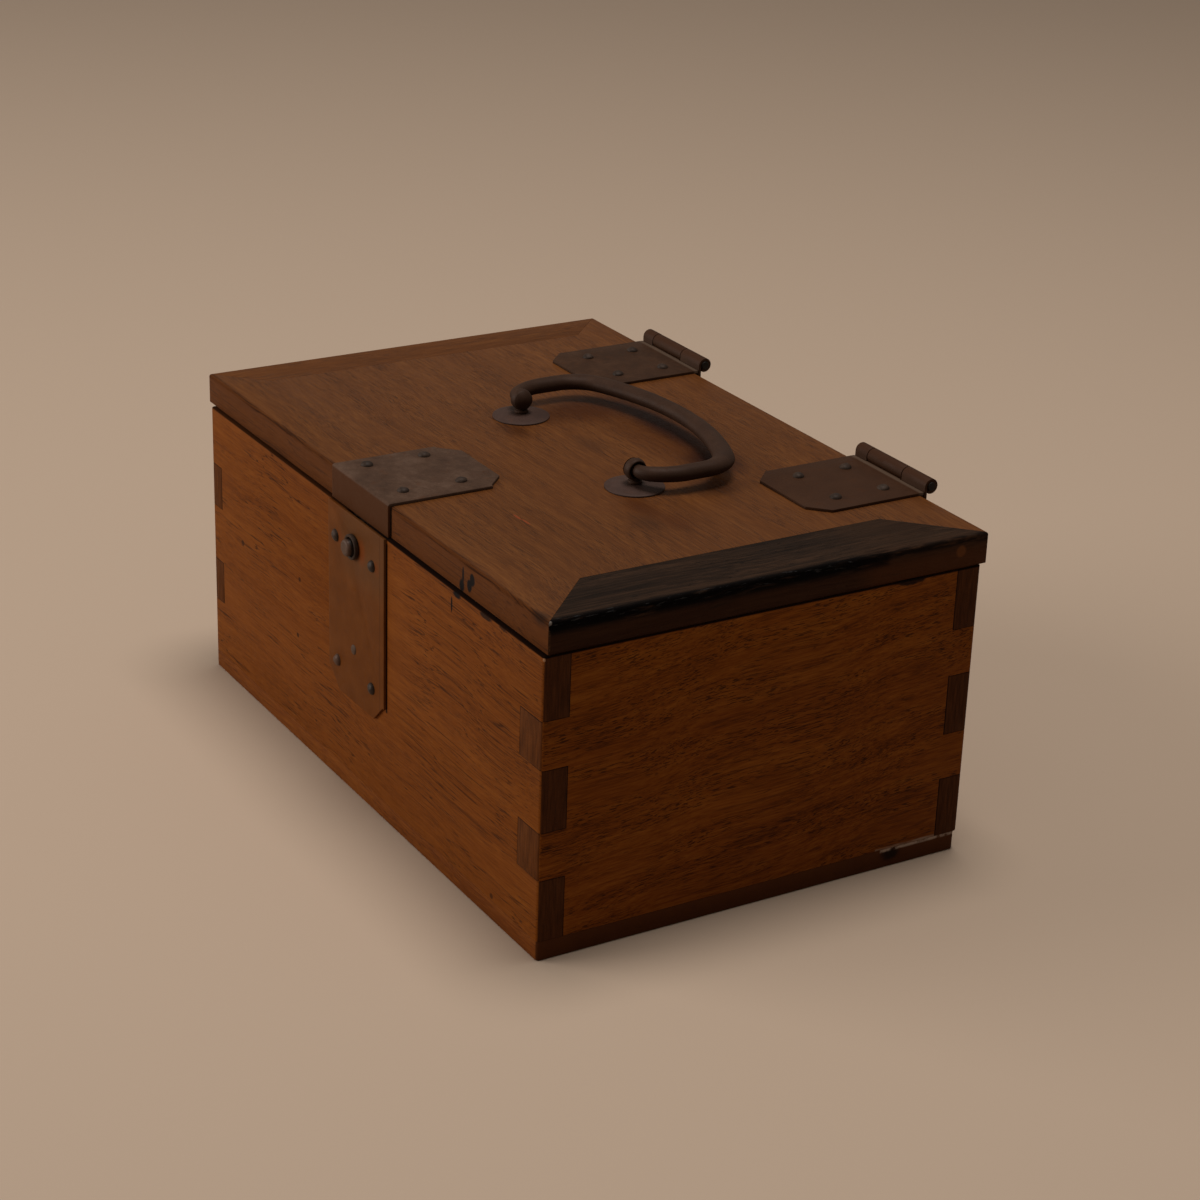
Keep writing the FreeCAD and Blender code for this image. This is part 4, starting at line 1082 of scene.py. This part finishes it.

# the dark strip: brown below and at its far end, a black worn arris with painted glints, the peg, chipped
# corners and a painted highlight on the near top corner
rightStripLook = {
    **warmWood, "grain": "y", "seed": 31.0, "shades": ((18, 11, 7), (36, 24, 16), (60, 41, 28)),
    "bands": 0.9, "streaks": 0.9, "pores": 0.6, "poreColour": (10, 6, 4),
    "cracks": 0.8, "crackColour": (6, 4, 3), "cloud": 0.4, "cloudColour": (18, 11, 7),
    "roughness": 0.62, "specular": 0.05, "marks": [
        boxMark((117.0, None, None), (None, None, 105), 0.7, (54, 27, 10), 1.5, (24, 2.4), cut=0.2),
        boxMark((117.0, 34, None), (None, None, 107.5), 0.75, (80, 42, 16), 6, (24, 2.4), cut=0.2),
        boxMark((115.8, None, 105.0), (None, 42, None), 0.95, (6, 4, 4), 1.3, (12, 1.8), cut=0.25, rough=0.3),
        boxMark((116.2, None, 106.6), anywhere, 0.9, (6, 4, 4), 0.8, (9, 1.2), cut=0.3, rough=0.2),
        # painted glints: pale grey dashes along the black arris stand in for its sheen
        boxMark((116.4, None, 106.8), (None, 30, None), 0.5, (56, 56, 57), 0.5, (4, 0.5), cut=0.6, edge=0.06),
        blotMark((lid["right"], lid["pegY"], lid["pegZ"]), (1.8,) * 3, 0.6, (104, 60, 28)),
        boxMark((None, 36, 108), (114, None, None), 0.5, (54, 35, 22), 8),
        # pale spot on the chipped near top corner: partly the chip, partly a painted highlight
        blotMark((117.3, -75.5, 108.5), (0.8, 0.8, 0.7), 0.8, (120, 110, 102), ragged=0.6),
        boxMark((116.9, None, 99), (None, -75.1, 107), 0.5, (104, 74, 52), 0.3, (1.0, 1.0), cut=0.4)]}

finishes = {key: wood(key + "Wood", look) for key, look in (
    ("front", frontLook), ("back", backLook), ("rightEnd", endLook), ("leftEnd", leftEndLook),
    ("bottom", bottomLook), ("lid", lidLook), ("rightStrip", rightStripLook), ("leftStrip", leftStripLook))}

# iron finishes

darkIron = {"seed": 1.0, "shades": ((48, 32, 23), (70, 50, 38), (92, 71, 58)),
            "mottling": 0.6, "rust": 0.35, "rustColour": (76, 43, 24), "roughness": 0.6, "metallic": 0.15,
            "bump": 0.3, "hammerHeight": 0.5, "specular": 0.2, "marks": ()}
ironLooks = {
    "strap": {
        **darkIron, "shades": ((52, 36, 27), (74, 54, 42), (96, 75, 62)),
        "metallic": 0.05, "specular": 0.07, "marks": [
            boxMark(anywhere, (None, lid["front"] - 0.3, lid["top"] + 0.4), 0.92, (70, 38, 15), 0.4)]},
    "plate": {
        **darkIron, "seed": 4.0, "shades": ((78, 40, 10), (93, 50, 14), (106, 60, 23)), "rust": 0.4,
        "rustColour": (100, 53, 14), "metallic": 0.0, "hammerHeight": 0.25, "specular": 0.06, "marks": [
            boxMark((lock["x"] - 8, None, 78), anywhere, 0.45, (84, 56, 32), 5),
            boxMark((lock["plateRight"] - 3.1, None, None), (lock["plateRight"] - 2.7, None, None), 0.5,
                    (56, 28, 9), 0.25),
            # painted shade, warm from bounced light, to the right of the button and of the two top nails
            blotMark((lock["x"] + 5.4, plateFace + 0.05, lock["buttonZ"]), (2.6, 3, 3.8), 0.6,
                     (108, 48, 8), 0.6, 0.2),
            *[blotMark((x, plateFace + 0.05, z), (1.7, 3, 2.0), 0.45, (106, 48, 10), 0.7, 0.2)
              for x, z in ((-12.4, 87.9), (13.6, 86.8))]]},
    "leaf": {
        **darkIron, "seed": 9.0, "shades": ((38, 23, 13), (55, 34, 20), (72, 48, 32)), "metallic": 0.05,
        "specular": 0.12, "marks": [
            boxMark((40, None, None), anywhere, 0.6, (56, 30, 12), 2),
            boxMark((None, hinge["leafEnd"] + 0.2, None), anywhere, 0.8, (56, 31, 15), 0.3),
            boxMark((None, hinge["leafEnd"] - 1.6, None), (None, hinge["leafEnd"] + 0.1, None), 0.35,
                    (112, 96, 82), 0.5)]},
    "pin": {**darkIron, "seed": 12.0, "shades": ((12, 9, 7), (24, 18, 14), (48, 37, 29))},
    "nail": {**darkIron, "seed": 14.0, "shades": ((20, 13, 10), (44, 31, 23), (78, 60, 48)), "rust": 0.3},
    "steel": {
        **darkIron, "seed": 19.0, "shades": ((24, 16, 11), (48, 36, 28), (80, 64, 53)), "rust": 0.3,
        "roughness": 0.5,
        "marks": [blotMark((-14.4, -78.8, 44.2), (3, 4, 3), 0.7, (86, 60, 46), ragged=0.2)]},
    "button": {
        **darkIron, "seed": 20.0, "shades": ((52, 36, 28), (78, 57, 45), (108, 84, 70)), "rust": 0.3,
        # the button's side near the plate is painted near black: painted shadow in the hole round it
        "roughness": 0.5, "marks": [boxMark((None, plateFace - 2.2, None), anywhere, 0.9, (20, 11, 7), 0.4)]},
    "collar": {**darkIron, "seed": 21.0, "shades": ((34, 24, 18), (56, 42, 33), (80, 63, 52)),
               "metallic": 0.1, "specular": 0.1},
    "rivet": {**darkIron, "seed": 23.0, "shades": ((50, 34, 25), (70, 51, 39), (94, 72, 58))},
    "handle": {**darkIron, "seed": 24.0, "shades": ((36, 21, 13), (52, 33, 22), (70, 47, 33)),
               "mottling": 0.35, "rustColour": (60, 33, 17), "hammerHeight": 0.2, "specular": 0.14},
    "rosette": {**darkIron, "seed": 27.0, "shades": ((46, 31, 25), (62, 43, 36), (80, 59, 51)),
                "mottling": 0.4},
    "hidden": {**darkIron, "seed": 29.0, "roughness": 0.55}}
irons = {key: iron(key + "Iron", look) for key, look in ironLooks.items()}
print("materials done")

# every modelled piece takes the place of its solid

for piece, body, node, slotName, finish in (
        (frontBoard, "box", "front_board", "front_wood", finishes["front"]),
        (backBoard, "box", "back_board", "back_wood", finishes["back"]),
        (rightEnd, "box", "right_end_board", "end_wood", finishes["rightEnd"]),
        (leftEnd, "box", "left_end_board", "end_wood", finishes["leftEnd"]),
        (bottomBoard, "box", "bottom_board", "bottom_wood", finishes["bottom"]),
        (panel, "lid", "lid_panel", "lid_wood", finishes["lid"]),
        (rightStrip, "lid", "lid_end_right", "strip_wood_right", finishes["rightStrip"]),
        (leftStrip, "lid", "lid_end_left", "strip_wood_left", finishes["leftStrip"]),
        (peg, "lid", "lid_end_peg", "strip_wood_right", finishes["rightStrip"]),
        (strap, "lid", "hasp_strap", "strap_iron", irons["strap"]),
        (strapNails, "lid", "hasp_nails", "nail_iron", irons["nail"]),
        (plate, "box", "lock_plate", "plate_iron", irons["plate"]),
        (plateNails, "box", "lock_plate_nails", "steel_heads", irons["steel"]),
        (footRivet, "box", "latch_rivet", "plate_iron", irons["rivet"]),
        (collar, "box", "lock_collar", "steel_heads", irons["collar"]),
        (button, "latch", "lock_button", "steel_heads", irons["button"]),
        (bailRod, "bail", "handle_bail", "handle_iron", irons["handle"])):
    install(piece, body, node, finish)
for k, end in enumerate(("left", "right")):
    install(lidLeaves[k], "lid", f"hinge_{end}_lid_leaf", irons["leaf"])
    install(lidNails[k], "lid", f"hinge_{end}_lid_nails", irons["nail"])
    install(boxLeaves[k], "box", f"hinge_{end}_box_leaf", irons["leaf"])
    install(boxNails[k], "box", f"hinge_{end}_box_nails", irons["nail"])
    install(pins[k], "box", f"hinge_{end}_pin", irons["pin"])
    install(rosettes[k], "lid", f"rosette_{end}", irons["rosette"])
    install(eyes[k], "lid", f"handle_eye_{end}", irons["handle"])
for node in ("lid_striker", "striker_rivets", "latch_spring", "latch_nose"):
    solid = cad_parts[node]
    solid.data.materials.clear()
    solid.data.materials.append(irons["hidden"])


# floor, light and camera

deselectAll()
bpy.ops.mesh.primitive_plane_add(size=8, location=(0, 0, 0))
floor = bpy.context.object
floor.name = "floor"
floor.data.materials.append(Shader("floorPaint").finish(linear(183, 162, 143), 0.85, specular=0.2))


def lamp(name, place, target, size, power):
    deselectAll()
    bpy.ops.object.light_add(type="AREA", location=place)
    light = bpy.context.object
    light.name = name
    light.data.shape = "DISK"
    light.data.size = size
    light.data.energy = power
    light.data.color = (1.0, 0.96, 0.91)
    light.rotation_euler = (Vector(target) - Vector(place)).to_track_quat("-Z", "Y").to_euler()
    return light


# in metres and watts
lamp("overheadLight", (-0.02, 0.12, 1.5), (0, 0, 0.1), 0.6, 12.5)
lamp("windowLight", (-1.0, -1.7, 0.7), (0, 0, 0.05), 1.6, 28)
world = bpy.data.worlds.new("room")
bpy.context.scene.world = world
world.use_nodes = True
world.node_tree.nodes["Background"].inputs["Color"].default_value = (0.95, 0.87, 0.78, 1)
world.node_tree.nodes["Background"].inputs["Strength"].default_value = 0.22

# where the photograph was taken from: angles in degrees, lengths in mm
view = {"azimuth": 58.714, "elevation": 23.206, "roll": 1.975, "distance": 940.04,
        "right": 12.18, "up": 51.45, "lens": 82.46}
azimuth, elevation, roll = [math.radians(view[key]) for key in ("azimuth", "elevation", "roll")]
back = Vector((math.sin(azimuth) * math.cos(elevation), -math.cos(azimuth) * math.cos(elevation),
               math.sin(elevation)))
level = Vector((math.cos(azimuth), math.sin(azimuth), 0))
upright = back.cross(level)
right = level * math.cos(roll) + upright * math.sin(roll)
up = upright * math.cos(roll) - level * math.sin(roll)
deselectAll()
bpy.ops.object.camera_add()
camera = bpy.context.object
camera.name = "photoView"
eyePoint = (back * view["distance"] + right * view["right"] + up * view["up"]) * mm
camera.matrix_world = Matrix.Translation(eyePoint) @ Matrix((right, up, back)).transposed().to_4x4()
camera.data.lens = view["lens"]
camera.data.sensor_width = 36
camera.data.clip_start = 0.01
camera.data.clip_end = 20
bpy.context.scene.camera = camera
bpy.context.scene.view_settings.view_transform = "Standard"
deselectAll()

print("scene done")
